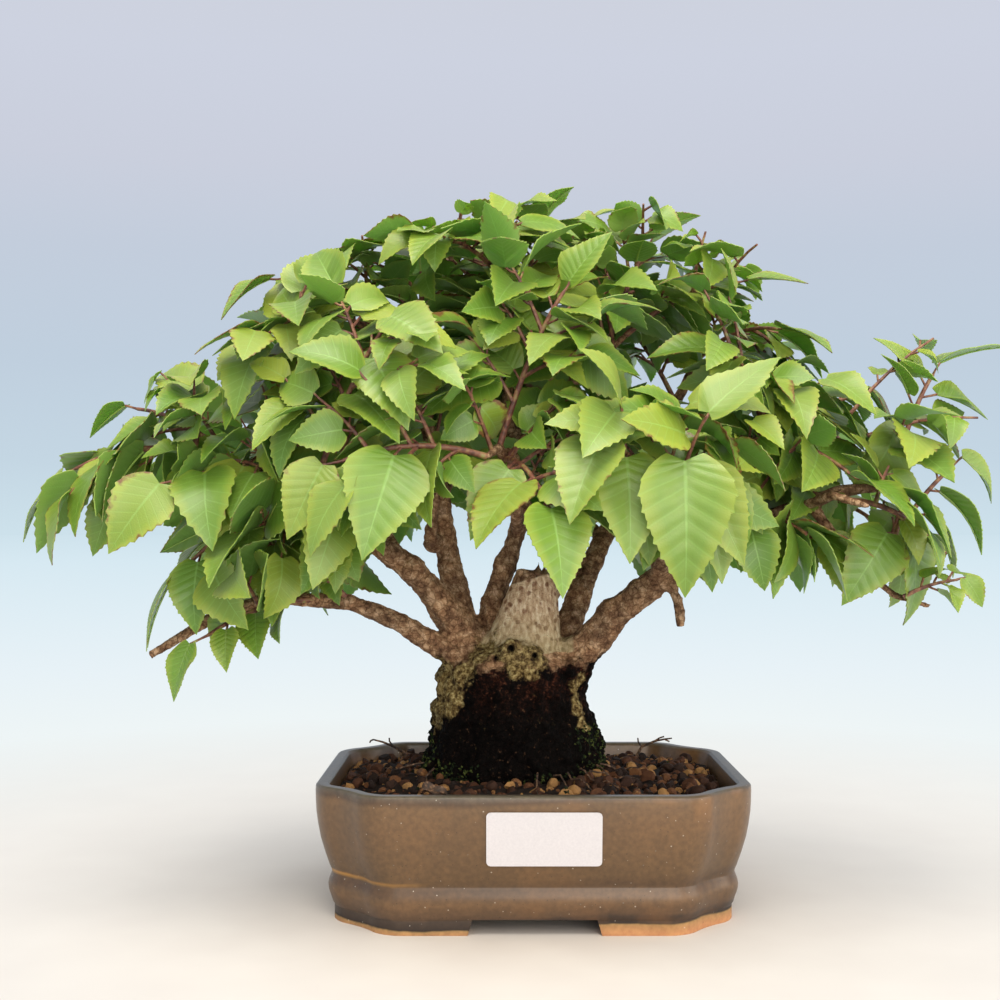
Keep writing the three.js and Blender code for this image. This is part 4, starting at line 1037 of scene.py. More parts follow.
# %% Dry stems and rootlets
DRY_ROUTES = {
    "dry_stem_left": [
        [(-47, 30, 38), (-48, 30, 43), (-50, 29.5, 48), (-54, 28, 50.6), (-58, 26, 52.6),
         (-61.5, 24.3, 53.8)],
        [(-54, 28, 50.6), (-55.5, 28.5, 52.5), (-55.6, 28.6, 53.8)],
        [(-61.5, 24.3, 53.8), (-62.5, 23.9, 53.4), (-62.9, 23.8, 52.6)],
    ],
    "dry_stem_right": [
        [(42, 34, 38), (42.5, 34, 45), (45, 33.7, 49.5), (50, 33, 51.8), (54, 33, 52.6), (57, 33, 53)],
        [(45, 33.7, 49.5), (43.6, 33.6, 51.4), (43.4, 33.4, 53)],
        [(50, 33, 51.8), (52, 32.5, 53.2), (53.8, 32.2, 53.8)],
        [(54, 33, 52.6), (56, 33.4, 51.6)],
    ],
}
DRY_RADII = (0.8, 0.3)
ROOTLETS = 9
ROOTLET_STEPS = 7
FRONT_ROOTLETS = 7
SOIL_LEVEL = 44

dry_wood = grainy_material("dry_plant_litter", 1.5, 4.0, [
    (0.35, "#1d140e"), (0.52, "#46301f"), (0.68, "#85644a"),
], bump=(0.4, 0.2), Roughness=0.7)

for name, routes in DRY_ROUTES.items():
    heap = Heap()
    for branch, route in enumerate(routes):
        places_along = [Vector(each) for each in route]
        first = DRY_RADII[0] if branch == 0 else 0.35
        shares = [step / (len(route) - 1) for step in range(len(route))]
        heap.put(*tube(places_along, [first + (DRY_RADII[1] - first) * share for share in shares], 6))
    twig_piece = heap.piece(name + "_fine", "dead_stem", dry_wood)
    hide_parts(name)

heap = Heap()
draw = seeded(91)
for k in range(ROOTLETS):
    at_front = k < FRONT_ROOTLETS
    angle = math.radians(-75 + 95 * k / ROOTLETS if at_front else 190 + 20 * (k - FRONT_ROOTLETS))
    where = Vector((-7 + 33 * math.cos(angle), -2 + 28 * math.sin(angle), 0))
    angle += 0.6 * draw() - 0.3
    stops = []
    for step in range(ROOTLET_STEPS):
        ground = dropped(soil, where.x, where.y)
        level = SOIL_LEVEL if ground is None else ground.z / MM
        clearance = 4.5 - 0.9 * step if step < 4 else 1.2 + 1.2 * draw()
        stops.append(Vector((where.x, where.y, level + clearance)))
        angle += 0.9 * draw() - 0.45
        where = where + Vector((math.cos(angle), math.sin(angle), 0)) * (2.2 + 1.6 * draw())
    if all(inside_pot(stop.x, stop.y, POT_ROOM + 1) for stop in stops):
        heap.put(*tube(stops, [0.36 - 0.03 * step for step in range(ROOTLET_STEPS)], 6))
heap.piece("rootlets", None, dry_wood)

# %% [markdown]
# Moss grows on the damp foot of the trunk and in specks on the soil. A tuft is a small ball with every other
# point drawn out, so it is a spiky star of a few faces. Rays from outside find the bark or the granules, and
# a tuft is set where each one lands. It has no slot, because the solid model has no moss.

# %% Moss
TUFT_LONG = 1.5
TUFT_SHORT = 0.55
MOSS_PATCHES = [(185, 26, 46, 60, 330), (-8, 24, 47, 64, 260), (222, 30, 45, 52, 150), (300, 40, 45, 49, 60)]
MOSS_SPECKS = [
    (-47, -30), (-41, -36), (-22, -42), (12, -44), (35, -34), (46, -12), (-52, -8), (-46, 14), (52, 12),
]
TUFTS_PER_SPECK = 5
TRUNK_X = -8
RAY_START = 70

select_only()
bpy.ops.mesh.primitive_ico_sphere_add(subdivisions=1, radius=1)
star = bpy.context.object
star_points = np.array([vertex.co for vertex in star.data.vertices])
star_faces = [tuple(face.vertices) for face in star.data.polygons]
bpy.data.objects.remove(star)
star_points *= np.array([TUFT_LONG if i % 2 else TUFT_SHORT for i in range(len(star_points))])[:, None]

heap = Heap()
draw = seeded(131)


def add_tuft(where, size):
    """Sets a tuft of moss at a place in mm, turned at random."""
    axis = Vector([draw() - 0.5 for axis in range(3)]).normalized()
    turned = star_points @ np.array(Matrix.Rotation(6 * draw(), 3, axis)).T
    heap.put(turned * size + np.array(where), star_faces, 0, None, (draw(), draw(), 0))


for middle, spread, low, high, count in MOSS_PATCHES:
    for k in range(count):
        angle = math.radians(middle + spread * (draw() + draw() - 1))
        level = low + (high - low) * draw() ** 2
        out = Vector((math.cos(angle), math.sin(angle), 0))
        start = POT_MIDDLE + (Vector((TRUNK_X, 0, level)) + out * RAY_START) * MM
        hit, where = wood.ray_cast(start, -out)[:2]
        if hit:
            add_tuft((where - POT_MIDDLE) / MM, 0.3 + 0.35 * draw())
for x, y in MOSS_SPECKS:
    for k in range(TUFTS_PER_SPECK):
        where = dropped(granules, x + 4 * draw() - 2, y + 4 * draw() - 2)
        if where is not None:
            add_tuft((where - POT_MIDDLE) / MM, 0.35 + 0.4 * draw())

moss = grainy_material("damp_cushion_moss", 0.6, 3.0, [
    (0.2, "#0a1006"), (0.75, "#161f0b"), (1.15, "#232e12"), (1.5, "#434a22"),
], by_look=0.6, bump=(0.6, 0.3), Roughness=0.85, Specular_IOR_Level=0.15)
heap.piece("moss", None, moss, angle=25)

# %% [markdown]
# A hornbeam leaf is a pleated plate about a third of a millimetre thick: ten or so side veins run from
# the rib to the edge, each ends in a large tooth, and smaller teeth lie between. A grid primitive is bent
# into that form by a formula, and a Solidify modifier gives it its thickness. Two are made: a fine one for
# the leaves that the solid tree has, and a plain one for the many small leaves between them.

# %% Leaf blades, shaped once
BLADE_LENGTH = 30 * MM
BLADE_WIDTH = 20 * MM
BLADE_THICKNESS = 0.34 * MM
VEINS = 10
WIDEST = 0.27
LOBE = 0.05


def half_width_at(u):
    """Half width of a leaf at a share of its length, as a share of its full width."""
    if u < WIDEST:
        return 0.2 + 0.3 * math.sin(math.pi / 2 * max(0, u + LOBE) / (WIDEST + LOBE)) ** 0.8
    t = (u - WIDEST) / (1 - WIDEST)
    return 0.003 + 0.497 * (1 - t * t) * (1 - 0.48 * t)


def blade_master(rows_per_vein, columns, relief, tooth):
    """Points as shares of length and width with lift in mm, faces, and marks of a leaf blade."""
    rows = VEINS * rows_per_vein
    select_only()
    bpy.ops.mesh.primitive_grid_add(x_subdivisions=rows, y_subdivisions=2 * columns, size=1)
    blade = bpy.context.object
    marks = []
    for vertex in blade.data.vertices:
        s, t = vertex.co.x + 0.5, 2 * vertex.co.y
        row = round(s * rows)
        edge_u = -LOBE + (1 + LOBE) * s
        rib_u = 0.02 * s + 0.98 * max(0, (s - 0.15) / 0.85) ** 1.35
        u = rib_u + (edge_u - rib_u) * abs(t) ** 0.9
        v = t * half_width_at(edge_u)
        if abs(t) > 0.99 and 0 < row < rows:
            phase = row % rows_per_vein / rows_per_vein
            out = tooth * (1.0 if phase == 0 else 0.5 if phase == 0.5 and columns > 1 else -0.4)
            out *= min(1, 4 * abs(v), 6 * s)
            v += math.copysign(out, t)
            u += 0.45 * max(out, 0)
        pleat = abs(math.sin(math.pi * VEINS * s)) * math.sin(math.pi * s) ** 0.5
        lift = relief * pleat * (0.35 + 0.65 * math.sin(math.pi * min(1, abs(t) + 0.12)))
        vertex.co = (u * BLADE_LENGTH, v * BLADE_WIDTH, lift * MM)
        marks.append((s, t, 0))
    count = len(marks)
    apply(blade, "SOLIDIFY", thickness=BLADE_THICKNESS, offset=-1)
    points = np.array([vertex.co for vertex in blade.data.vertices])
    points /= (BLADE_LENGTH, BLADE_WIDTH, MM)
    marks = np.array(marks + [(*mark[:2], 1) for mark in marks])
    faces = [tuple(face.vertices) for face in blade.data.polygons]
    bpy.data.objects.remove(blade)
    print("a blade of", len(faces), "faces and", len(points), "points;", count, "on its upper side")
    return points, faces, marks


FINE_BLADE = blade_master(4, 3, 0.32, 0.042)
PLAIN_BLADE = blade_master(2, 1, 0.3, 0.055)

# %% [markdown]
# Leaves follow the rule that the tree grew by. A stem leaves the wood on a bend, leaves stand on it in turn
# at its left and right, and each rib reaches aside, sags with its weight and turns its face to the light.
# The solid tree was drawn by this rule, with the same seeded draws, so the finer leaves land where its
# leaves are. Which bend and which sag it took is found by comparing places with its points.

# %% Rule of growth
CROWN_MIDDLE = Vector((-10, -2, 150))
CROWN_HALF = Vector((152, 88, 107))
CROWN_ROUNDNESS = 1.55
CROWN_UNEVEN = (0.92, 0.12)
LEFT_FALL = 0.15
LEFT_FALL_FROM = -80
CROWN_UNDERSIDE = -0.14
GOLDEN_ANGLE = math.pi * (3 - math.sqrt(5))
SEEN_TIPS = [
    (-162, -30, 158, 1.05), (-143, -20, 180, 0.9), (-122, -40, 122, 0.8), (-112, -44, 100, 0.65),
    (-96, -42, 132, 0.95), (144, -24, 192, 0.95), (150, -24, 158, 1), (146, -30, 128, 0.7),
    (122, -44, 124, 1.15), (3, -2, 248, 0.9), (-42, 4, 230, 0.9), (44, 4, 243, 0.9), (76, -10, 228, 1),
    (24, -84, 162, 1.25), (46, -86, 156, 1.45), (-62, -80, 158, 1.2), (-50, -74, 200, 1.15),
]
RULE_TIPS = 31
TIP_SPACING = 27
ROOT_SPACING = 9
ROOT_WOOD_RADIUS = 3.8
BENDS = [0.18, 0.3, 0.06, -0.08]
LEAVES_PER_STEM = 6
FIRST_LEAF_AT = 0.34
SIDE_LEAVES_END = 0.96
LEAF_LENGTH_LOW = 29
LEAF_LENGTH_TOP = 21
LEAF_LOW_Z = 110
LEAF_TOP_Z = 250
DRAWN = {
    "sag": (0.05, 0.5), "ahead": (0.3, 0.3), "roll": (-0.45, 0.9), "size": (0.8, 0.4), "stalk": (4, 3),
    "width": (0.64, 0.12), "droop": (0.35, 0.5), "fold": (0.15, 0.2),
}
POSES = [(0, 0), (0.35, 0), (-0.3, 0), (0, 0.5), (0, -0.5), (0.7, 0.35), (0.7, -0.35), (-0.6, 0), (1.1, 0)]
UP = Vector((0, 0, 1))


def outward_at(where):
    """The way out of the crown at a place in it."""
    span = where - CROWN_MIDDLE
    return Vector([span[i] / CROWN_HALF[i] ** 2 for i in range(3)]).normalized()


def stem_tips():
    """Where the leafy stems end, and how large their leaves are."""
    tips = [(Vector(tip[:3]), tip[3]) for tip in SEEN_TIPS]
    for k in range(RULE_TIPS):
        draw = seeded(500 + k)
        rise = CROWN_UNDERSIDE + (1 - CROWN_UNDERSIDE) * (k + 0.5) / RULE_TIPS
        level = math.sqrt(1 - rise * rise)
        turn = k * GOLDEN_ANGLE
        total = level ** CROWN_ROUNDNESS + abs(rise) ** CROWN_ROUNDNESS
        reach = total ** (-1 / CROWN_ROUNDNESS) * vary(CROWN_UNEVEN, draw)
        way = Vector((level * math.cos(turn), level * math.sin(turn), rise))
        tip = way * reach * CROWN_HALF + CROWN_MIDDLE
        tip.z -= LEFT_FALL * max(LEFT_FALL_FROM - tip.x, 0)
        if all((other - tip).length > TIP_SPACING for other, size in tips):
            tips.append((tip, 1))
    return tips


def stem_roots():
    """Places on the thinner wood where a leafy stem can grow."""
    roots = []
    for route in LIMBS + BOUGHS:
        for before, here in zip(route, route[1:]):
            start, end = Vector(before[:3]), Vector(here[:3])
            parts = round((end - start).length / ROOT_SPACING) if before[3] < ROOT_WOOD_RADIUS else 0
            roots += [end.lerp(start, part / parts) for part in range(parts)]
    return roots


def bend_control(root, tip, bend):
    """The place that a bent stem leans towards."""
    return root.lerp(tip, 0.5) + UP * bend * (tip - root).length


def leaf_on(stem, index, pose):
    """Where a leaf grows on a stem, the way its rib and face point, and its size."""
    draw = seeded(1000 * stem["number"] + index)
    is_last = index == LEAVES_PER_STEM - 1
    t = 1 if is_last else FIRST_LEAF_AT + (SIDE_LEAVES_END - FIRST_LEAF_AT) * index / (LEAVES_PER_STEM - 1)
    origin = on_bend(*stem["bend"], t)
    ahead = way_on_bend(*stem["bend"], t)
    outward = outward_at(origin)
    sunward = (outward * 0.7 + UP * 0.7).normalized()
    aside = ahead.cross(sunward).normalized() * (0 if is_last else (1 if index % 2 else -1))
    stalk_way = (ahead * 0.55 + aside * 0.8 + UP * 0.1).normalized()
    lowness = max(0, min(1, (LEAF_TOP_Z - origin.z) / (LEAF_TOP_Z - LEAF_LOW_Z)))
    sag = vary(DRAWN["sag"], draw) + 0.1 * lowness + 2.2 * max(stem["leaf_size"] - 1, 0) + pose[0]
    rib = (ahead * vary(DRAWN["ahead"], draw) + aside * 0.75 + outward * 0.15 - UP * sag).normalized()
    face = (sunward - rib * sunward.dot(rib)).normalized()
    face.rotate(Quaternion(rib, pose[1] + vary(DRAWN["roll"], draw)))
    usual = LEAF_LENGTH_TOP + (LEAF_LENGTH_LOW - LEAF_LENGTH_TOP) * lowness
    length = usual * vary(DRAWN["size"], draw) * stem["leaf_size"]
    base = origin + stalk_way * vary(DRAWN["stalk"], draw)
    width = length * vary(DRAWN["width"], draw)
    return {
        "origin": origin, "base": base, "rib": rib, "face": face, "across": face.cross(rib),
        "length": length, "width": width,
        "droop": vary(DRAWN["droop"], draw), "fold": vary(DRAWN["fold"], draw),
    }


RIB_SOFTNESS = 0.7


def on_leaf(leaf, points):
    """Places on a leaf of points given as shares of its length and width, with lift in mm."""
    base, rib, face, across = (np.array(leaf[key]) for key in ("base", "rib", "face", "across"))
    u, v = points[:, 0], points[:, 1] * leaf["width"]
    turn = leaf["droop"] * u
    forward = leaf["length"] * np.sin(turn) / leaf["droop"]
    down = leaf["length"] * (1 - np.cos(turn)) / leaf["droop"]
    face_there = np.outer(np.cos(turn), face) + np.outer(np.sin(turn), rib)
    rise = (np.sqrt(v * v + RIB_SOFTNESS ** 2) - RIB_SOFTNESS) * math.sin(leaf["fold"])
    rise = rise + points[:, 2] * leaf["length"] * MM / BLADE_LENGTH
    if "wave" in leaf:
        rise = rise + leaf["wave"] * (2 * points[:, 1]) ** 2 * np.sin(7 * u + leaf["phase"])
    flat = base + np.outer(forward, rib) - np.outer(down, face)
    return flat + np.outer(v * math.cos(leaf["fold"]), across) + face_there * rise[:, None]


tips = stem_tips()
roots = stem_roots()
print(len(tips), "stem tips and", len(roots), "places to grow from")

# %% [markdown]
# Each stem of the solid tree is matched to the root and bend that fit its points best, and each of its
# leaves to the pose whose tip lies on a point. Leaves that the solid tree had no room for are left out.

# %% Match the solid stems
TIP_MATCH = 0.3
SHORTEST_STEM = 15
LONGEST_STEM = 110
STEM_NODES = sorted(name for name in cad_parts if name.startswith("leafy_stem_"))


def point_tree(name):
    """The points of a CAD node, in mm from the middle of the pot, ready to be searched."""
    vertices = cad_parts[name].data.vertices
    tree = KDTree(len(vertices))
    for vertex in vertices:
        tree.insert((vertex.co - POT_MIDDLE) / MM, vertex.index)
    tree.balance()
    return tree


def misfit(search, bend):
    """The sum of the gaps between six ring points of a three-sided stem and the solid stem's points."""
    rings = tube(through(*bend, 3), [1, 0.867, 0.733, 0.6], 3)[0]
    return sum(search.find(ring)[2] for ring in rings[3:9])


stems = []
for number, (name, (tip, leaf_size)) in enumerate(zip(STEM_NODES, tips), start=1):
    search = point_tree(name)
    bends = [(root, bend_control(root, tip, bend), tip) for root in roots for bend in BENDS]
    near = [bend for bend in bends if SHORTEST_STEM < (bend[0] - tip).length < LONGEST_STEM]
    best = min(near, key=lambda bend: misfit(search, bend))
    stem = {"name": name, "number": number, "bend": best, "leaf_size": leaf_size, "leaves": []}
    stem["misfit"] = misfit(search, best)
    for index in range(LEAVES_PER_STEM):
        leaves = [leaf_on(stem, index, pose) for pose in POSES]
        gaps = [search.find(on_leaf(leaf, np.array([[1.0, 0, 0]]))[0])[2] for leaf in leaves]
        if min(gaps) < TIP_MATCH:
            stem["leaves"].append(leaves[gaps.index(min(gaps))])
    stems.append(stem)
worst = max(stem["misfit"] for stem in stems)
matched = sum(len(stem["leaves"]) for stem in stems)
print(len(stems), "stems,", matched, "leaves; worst sum of six gaps in mm", round(worst, 2))

# %% [markdown]
# Hornbeam leaves are satin, mid-green above and paler below. Light shines through them, so thin leaves
# glow yellow-green at the edge of the crown. Veins are paler lines in sunken folds, the margin yellows
# first, and leaves at the top are scorched brown at their teeth. The marks on each point say where on the
# blade it is, and how dark, yellow and scorched its leaf is. Leaves deep in the crown are painted darker for
# the shade there, and leaves further out are painted lighter and yellower for the light that falls on them
# and shines through. Subsurface light stands for the glow too.

# %% Leaf and shoot materials
leaf_green, tree, output = new_material("satin_hornbeam_leaf")
blade = add(tree, "SeparateXYZ", {0: add(tree, "Attribute", attribute_name="blade").outputs["Vector"]})
look = add(tree, "SeparateXYZ", {0: add(tree, "Attribute", attribute_name="look").outputs["Vector"]})
here = add(tree, "TexCoord").outputs["Object"]
mottle = add(tree, "TexNoise", {"Vector": here, "Scale": 1000 / 7, "Detail": 3.0})
tone = add(tree, "Math", {0: mottle.outputs["Fac"], 1: 0.3, 2: look.outputs["X"]}, operation="MULTIPLY_ADD")
green = add(tree, "ValToRGB", {"Fac": tone.outputs[0]}, [
    (0.05, "#47691b"), (0.42, "#5b7d24"), (0.8, "#69882f"), (1.1, "#78903e"),
])
across = add(tree, "Math", {0: blade.outputs["Y"]}, operation="ABSOLUTE")
margin = add(tree, "ValToRGB", {"Fac": across.outputs[0]}, [(0.62, 0.0), (1.0, 1.0)])
yellow_edge = add(tree, "Math", {0: margin.outputs[0], 1: 0.7, 2: look.outputs["Y"]},
                  operation="MULTIPLY_ADD", use_clamp=True)
yellow_part = add(tree, "Math", {0: yellow_edge.outputs[0], 1: 0.7}, operation="MULTIPLY")
warm = add(tree, "Mix", {0: yellow_part.outputs[0], MIX_A: green.outputs[0], MIX_B: linear("#9da43c")},
           data_type="RGBA")
vein_place = add(tree, "Math", {0: blade.outputs["X"], 1: float(VEINS)}, operation="MULTIPLY")
vein_gap = add(tree, "Math", {0: vein_place.outputs[0], 1: 0.5}, operation="PINGPONG")
vein = add(tree, "ValToRGB", {"Fac": vein_gap.outputs[0]}, [(0.02, 0.45), (0.1, 0.0)])
rib = add(tree, "ValToRGB", {"Fac": across.outputs[0]}, [(0.02, 1.0), (0.06, 0.0)])
veins = add(tree, "Math", {0: vein.outputs[0], 1: rib.outputs[0]}, operation="MAXIMUM")
vein_part = add(tree, "Math", {0: veins.outputs[0], 1: 0.42}, operation="MULTIPLY")
veined = add(tree, "Mix", {0: vein_part.outputs[0], MIX_A: warm.outputs[MIX_OUT], MIX_B: linear("#8fb560")},
             data_type="RGBA")
under_part = add(tree, "Math", {0: blade.outputs["Z"], 1: 0.55}, operation="MULTIPLY")
faced = add(tree, "Mix", {0: under_part.outputs[0], MIX_A: veined.outputs[MIX_OUT],
                          MIX_B: linear("#6f9950")}, data_type="RGBA")
burn_noise = add(tree, "TexNoise", {"Vector": here, "Scale": 1000 / 3, "Detail": 3.0})
burn = add(tree, "Math", {0: burn_noise.outputs["Fac"], 1: across.outputs[0]}, operation="ADD")
burn_all = add(tree, "Math", {0: burn.outputs[0], 1: look.outputs["Z"]}, operation="ADD")
burnt = add(tree, "ValToRGB", {"Fac": add(tree, "Math", {0: burn_all.outputs[0], 1: 0.5},
                                          operation="MULTIPLY").outputs[0]}, [(0.86, 0.0), (0.96, 1.0)])
colour = add(tree, "Mix", {0: burnt.outputs[0], MIX_A: faced.outputs[MIX_OUT], MIX_B: linear("#6f4a26")},
             data_type="RGBA")
net = add(tree, "TexVoronoi", {"Vector": here, "Scale": 1000 / 0.9}, feature="DISTANCE_TO_EDGE")
relief = add(tree, "Math", {0: veins.outputs[0], 1: -1.0, 2: net.outputs["Distance"]},
             operation="MULTIPLY_ADD")
bump = add(tree, "Bump", {"Height": relief.outputs[0], "Strength": 0.35, "Distance": 0.15 * MM})
surface = add(tree, "BsdfPrincipled", {
    "Base Color": colour.outputs[MIX_OUT], "Roughness": 0.42, "Normal": bump.outputs[0], "IOR": 1.45,
    "Subsurface Weight": 0.2, "Subsurface Radius": (0.6, 1.0, 0.25), "Subsurface Scale": 1.2 * MM,
    "Coat Weight": 0.22, "Coat Roughness": 0.38,
})
tree.links.new(surface.outputs[0], output.inputs[0])

shoot = grainy_material("reddish_young_shoot", 2.2, 4.0, [
    (0.32, "#4a2b22"), (0.5, "#7a4a3a"), (0.62, "#8f6b45"), (0.75, "#8a9a55"),
], bump=(0.3, 0.2), Roughness=0.55)
print("leaf and shoot finishes are ready")

# %% [markdown]
# Between its large leaves a real stem carries side twigs with smaller ones, and they fill the crown. They
# follow the same rule. Each new leaf is tried in a few poses. It is kept only where a coarse copy of its
# blade crosses no other, and where it stays inside the tree's own box, under the crown's outline as the
# camera sees it, and above the limbs that show. Leaves of the solid tree are always kept, and twigs and
# stalks aren't tested.

# %% Side twigs and small leaves
TWIGS_PER_STEM = 6
INNER_TWIGS = 210
TWIG_LENGTH = (12, 15)
INNER_LENGTH = (20, 22)
TWIG_LEAF_SIZE = (0.6, 0.45)
CROWN_LIMIT = 0.99
SPARSE_REACH = 90
SPARSE_RIGHT_X = 95
INNER_WOOD_RADIUS = 4.6
INNER_LOW_Z = 118
INNER_RIGHT_X = 105
INNER_ABOVE = 6
NEAR_LEAVES = 36
LOOK_LOW_Z = 90
LOOK_RANGE_Z = 160
COARSE = np.array([(u, v, 0) for u in (0.0, 0.35, 0.7, 1.0) for v in (-1, 0, 1)])
COARSE[:, 1] *= np.repeat([0.25, 0.46, 0.27, 0.0], 3)
COARSE_FACES = [(i, i + 1, i + 4, i + 3) for row in range(3) for i in (3 * row, 3 * row + 1)]
BOX_LOW, BOX_HIGH = (np.array((Vector(corner) - POT_MIDDLE) / MM) for corner in cad_bounds)

# Red young shoots with small leaves, by their roots and tips
YOUNG_SHOOTS = [
    ((114, -25, 178), (144, -25, 205)), ((120, -25, 170), (158, -30, 176)),
    ((-30, -10, 236), (-25, -12, 256)), ((60, -10, 228), (64, -14, 246)),
    ((-112, -30, 168), (-128, -34, 188)), ((128, -40, 113), (145, -44, 119)),
]

# From x onward, the height that no small leaf hangs below, so that the limbs show as on the real tree
UNDERSIDE = [(-200, 102), (-62, 127), (-44, 144), (8, 131), (46, 112), (128, 92)]

# The crown's upper outline as seen from the front, as places along it and their heights
SKYLINE_X = [
    -205, -196, -178, -158, -144, -133, -113, -91, -70, -50, -6,
    11, 47, 61, 80, 99, 110, 132, 153, 164, 171, 180,
]
SKYLINE_Z = [
    120, 146, 166, 186, 194, 200, 221, 239, 246, 256, 265,
    262, 264, 250, 244, 218, 204, 212, 210, 185, 140, 100,
]

centres = []
blade_trees = []


def underside_at(x):
    """The height that small leaves stay above."""
    return [least for start, least in UNDERSIDE if x > start][-1]


def crown_share(where):
    """How far out in the crown a place lies: 1 on its surface."""
    span = [(where[i] - CROWN_MIDDLE[i]) / CROWN_HALF[i] for i in range(3)]
    total = math.hypot(span[0], span[1]) ** CROWN_ROUNDNESS + abs(span[2]) ** CROWN_ROUNDNESS
    return total ** (1 / CROWN_ROUNDNESS)


def is_under_skyline(points):
    """True where places in mm lie below the crown's outline as the camera sees it."""
    closer = -CAMERA_PLACE[1] / (points[:, 1] - CAMERA_PLACE[1])
    x = CAMERA_PLACE[0] + (points[:, 0] - CAMERA_PLACE[0]) * closer
    z = CAMERA_PLACE[2] + (points[:, 2] - CAMERA_PLACE[2]) * closer
    return (z < np.interp(x, SKYLINE_X, SKYLINE_Z)).all()


def settle_leaf(leaf, must):
    """Keeps a leaf if it is clear of the others and within the crown's limits, or if it must be kept."""
    points = on_leaf(leaf, COARSE)
    middle = points.mean(axis=0)
    if not must:
        inside = (points > BOX_LOW + 1).all() and (points < BOX_HIGH - 1).all()
        if not inside or not is_under_skyline(points) or points[:, 2].min() < underside_at(middle[0]):
            return False
    tree = BVHTree.FromPolygons(points.tolist(), COARSE_FACES)
    if not must and centres:
        gaps = np.linalg.norm(np.array(centres) - middle, axis=1)
        near = np.nonzero(gaps < NEAR_LEAVES)[0]
        if any(tree.overlap(blade_trees[i]) for i in near):
            return False
    centres.append(middle)
    blade_trees.append(tree)
    return True


def unsettle(leaf, draw):
    """Turns a small leaf at random about its rib and about the upright, and varies its droop and size."""
    spin = Quaternion(leaf["rib"], 1.5 * draw() - 0.75)
    swing = Quaternion(UP, 1.4 * draw() - 0.7)
    for key in ("rib", "face", "across"):
        leaf[key] = swing @ (spin @ leaf[key])
    leaf["droop"] = 0.25 + 0.9 * draw()
    leaf["fold"] = 0.05 + 0.4 * draw()
    leaf["length"] *= 0.8 + 0.45 * draw()


def grow_twig(number, origin, end, draw, smaller=1):
    """A side twig and those of its leaves that find room."""
    twig = {
        "number": number, "bend": (origin, bend_control(origin, end, 0.12), end),
        "leaf_size": vary(TWIG_LEAF_SIZE, draw) * smaller, "leaves": [],
    }
    for index in range(LEAVES_PER_STEM):
        for pose in POSES:
            leaf = leaf_on(twig, index, pose)
            leaf["base"] = leaf["origin"].lerp(leaf["base"], 0.7)
            unsettle(leaf, draw)
            if settle_leaf(leaf, False):
                twig["leaves"].append(leaf)
                break
    return twig


def dress(leaf, draw):
    """Gives a leaf its wave, and how light, yellow and scorched it is: deeper in the crown it is painted
    darker for shade.
    """
    height = (leaf["base"].z - LOOK_LOW_Z) / LOOK_RANGE_Z
    depth = crown_share(leaf["base"])
    leaf["wave"] = 0.2 + 1.1 * draw()
    leaf["phase"] = 6 * draw()
    # Painted shade and light: leaves deep in the crown are darker, and those further out lighter and
    # yellower.
    tone = -0.1 + 0.6 * draw() + 0.35 * depth
    yellow = max(0, 0.9 * draw() ** 4 + 0.4 * (depth - 0.8) + 0.1 * height - 0.1)
    scorch = 0.32 * draw() ** 3 + 0.36 * draw() ** 3 * max(0, height)
    leaf["look"] = (tone, yellow, scorch)


for stem in stems:
    for leaf in stem["leaves"]:
        settle_leaf(leaf, True)
for stem in stems:
    stem["twigs"] = []
    draw = seeded(9000 + stem["number"])
    for k in range(TWIGS_PER_STEM):
        t = 0.12 + 0.8 * (k + draw()) / TWIGS_PER_STEM
        origin = on_bend(*stem["bend"], t)
        ahead = way_on_bend(*stem["bend"], t)
        outward = outward_at(origin)
        aside = ahead.cross(outward).normalized() * (1 if k % 2 else -1)
        way = (ahead * 0.5 + aside * 0.8 + outward * (0.6 * draw() - 0.2) + UP * 0.1).normalized()
        is_far = abs(origin.x - CROWN_MIDDLE.x) > SPARSE_REACH
        if (is_far and k % 2) or (origin.x > SPARSE_RIGHT_X and k % 3):
            continue
        end = origin + way * vary(TWIG_LENGTH, draw)
        twig = grow_twig(100 * stem["number"] + 5000 + k, origin, end, draw)
        if twig["leaves"]:
            stem["twigs"].append(twig)
small = sum(len(twig["leaves"]) for stem in stems for twig in stem["twigs"])
print(small, "small leaves on", sum(len(stem["twigs"]) for stem in stems), "side twigs")

inner_twigs = []
thin_places = [where for where, radius in samples if radius < INNER_WOOD_RADIUS and where.z > INNER_LOW_Z]
draw = seeded(77)
for k in range(INNER_TWIGS):
    origin = thin_places[int(len(thin_places) * draw())]
    spread = Vector([draw() - 0.5 for axis in range(3)])
    way = (outward_at(origin) * 0.6 + UP * 0.5 + spread * 1.8).normalized()
    end = origin + way * vary(INNER_LENGTH, draw)
    if crown_share(end) < CROWN_LIMIT and end.z > underside_at(end.x) + INNER_ABOVE and end.x < INNER_RIGHT_X:
        twig = grow_twig(30000 + k, origin, end, draw)
        if twig["leaves"]:
            inner_twigs.append(twig)
for k, (origin, end) in enumerate(YOUNG_SHOOTS):
    inner_twigs.append(grow_twig(40000 + k, Vector(origin), Vector(end), draw, 0.6))
print(sum(len(twig["leaves"]) for twig in inner_twigs), "leaves on", len(inner_twigs), "inner twigs")

# %% [markdown]
# Each leafy stem becomes one piece: a round tapering shoot, curved stalks, ribs that stand out below the
# blades, and the blades themselves. It stands for its solid stem.

# %% Build the leafy stems
STALK_RADII = (0.55, 0.42, 0.42, 0.46)
RIB_SHARES = (0.0, 0.2, 0.4, 0.6, 0.8, 0.95)


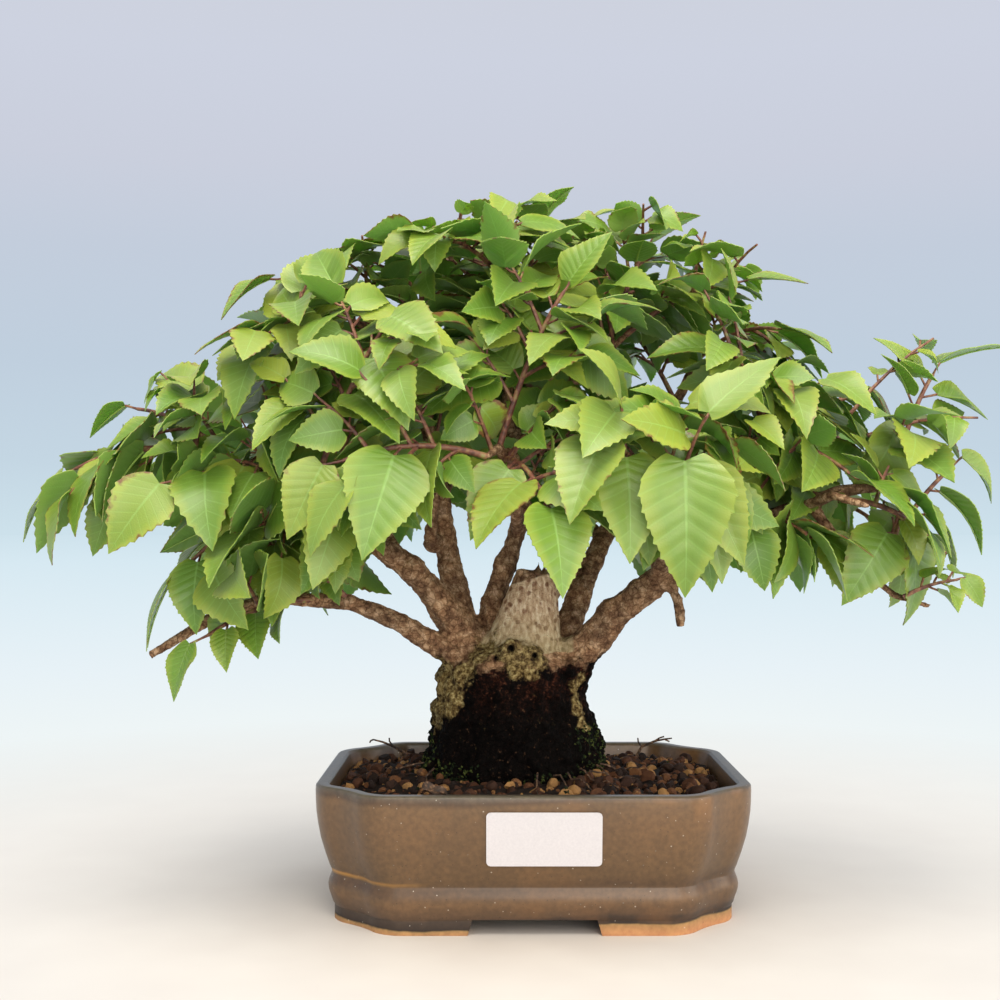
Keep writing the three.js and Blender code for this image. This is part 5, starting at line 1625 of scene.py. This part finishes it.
def put_leaf(heap, leaf, master, draw):
    """Adds a leaf's blade, stalk and rib to a heap."""
    dress(leaf, draw)
    points, faces, marks = master
    heap.put(on_leaf(leaf, points), faces, 0, marks, leaf["look"])
    foot = on_leaf(leaf, np.array([[0.0, 0, -0.35]]))[0]
    control = leaf["origin"].lerp(Vector(foot), 0.6) - leaf["rib"] * 0.8 - UP * 0.5
    is_fine = master is FINE_BLADE
    steps = 3 if is_fine else 2
    radii = STALK_RADII[:steps + 1]
    stalk = tube(through(leaf["origin"], control, Vector(foot), steps), radii, 6 if is_fine else 4)
    heap.put(*stalk, 1)
    if is_fine:
        spine = on_leaf(leaf, np.array([[u, 0, -0.42] for u in RIB_SHARES]))
        widths = [0.46 - 0.36 * u for u in RIB_SHARES]
        heap.put(*tube([Vector(each) for each in spine], widths, 6), 0, None, (0.9, 0.5, 0))


def put_twig(heap, twig, draw):
    """Adds a twig and its leaves to a heap."""
    heap.put(*tube(through(*twig["bend"], 4), [0.8, 0.7, 0.6, 0.52, 0.42], 6), 1)
    for leaf in twig["leaves"]:
        put_leaf(heap, leaf, PLAIN_BLADE, draw)


for stem in stems:
    draw = seeded(12000 + stem["number"])
    heap = Heap()
    heap.put(*tube(through(*stem["bend"], 10), [1.15 - 0.05 * step for step in range(11)], 8), 1)
    for leaf in stem["leaves"]:
        put_leaf(heap, leaf, FINE_BLADE, draw)
    for twig in stem["twigs"]:
        put_twig(heap, twig, draw)
    piece = heap.piece(stem["name"] + "_leaves", "leaf", leaf_green, shoot)
    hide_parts(stem["name"])

draw = seeded(15000)
for k in range(3):
    heap = Heap()
    for twig in inner_twigs[k::3]:
        put_twig(heap, twig, draw)
    heap.piece(f"inner_twigs_{k + 1}", "leaf", leaf_green, shoot)

# One dead leaf lies curled on the soil at the front: brown, narrow and folded
rib = Vector((0.95, -0.12, 0.28)).normalized()
face = Vector((0.1, -0.55, 0.8))
face = (face - rib * rib.dot(face)).normalized()
fallen = {
    "base": Vector((-37.5, -48.5, 47.5)), "rib": rib, "face": face, "across": face.cross(rib), "length": 10,
    "width": 7, "droop": 1.5, "fold": 0.9, "wave": 1.8, "phase": 2,
}
points, faces, marks = PLAIN_BLADE
heap = Heap()
heap.put(on_leaf(fallen, points), faces)
heap.piece("fallen_leaf", None, dry_wood)
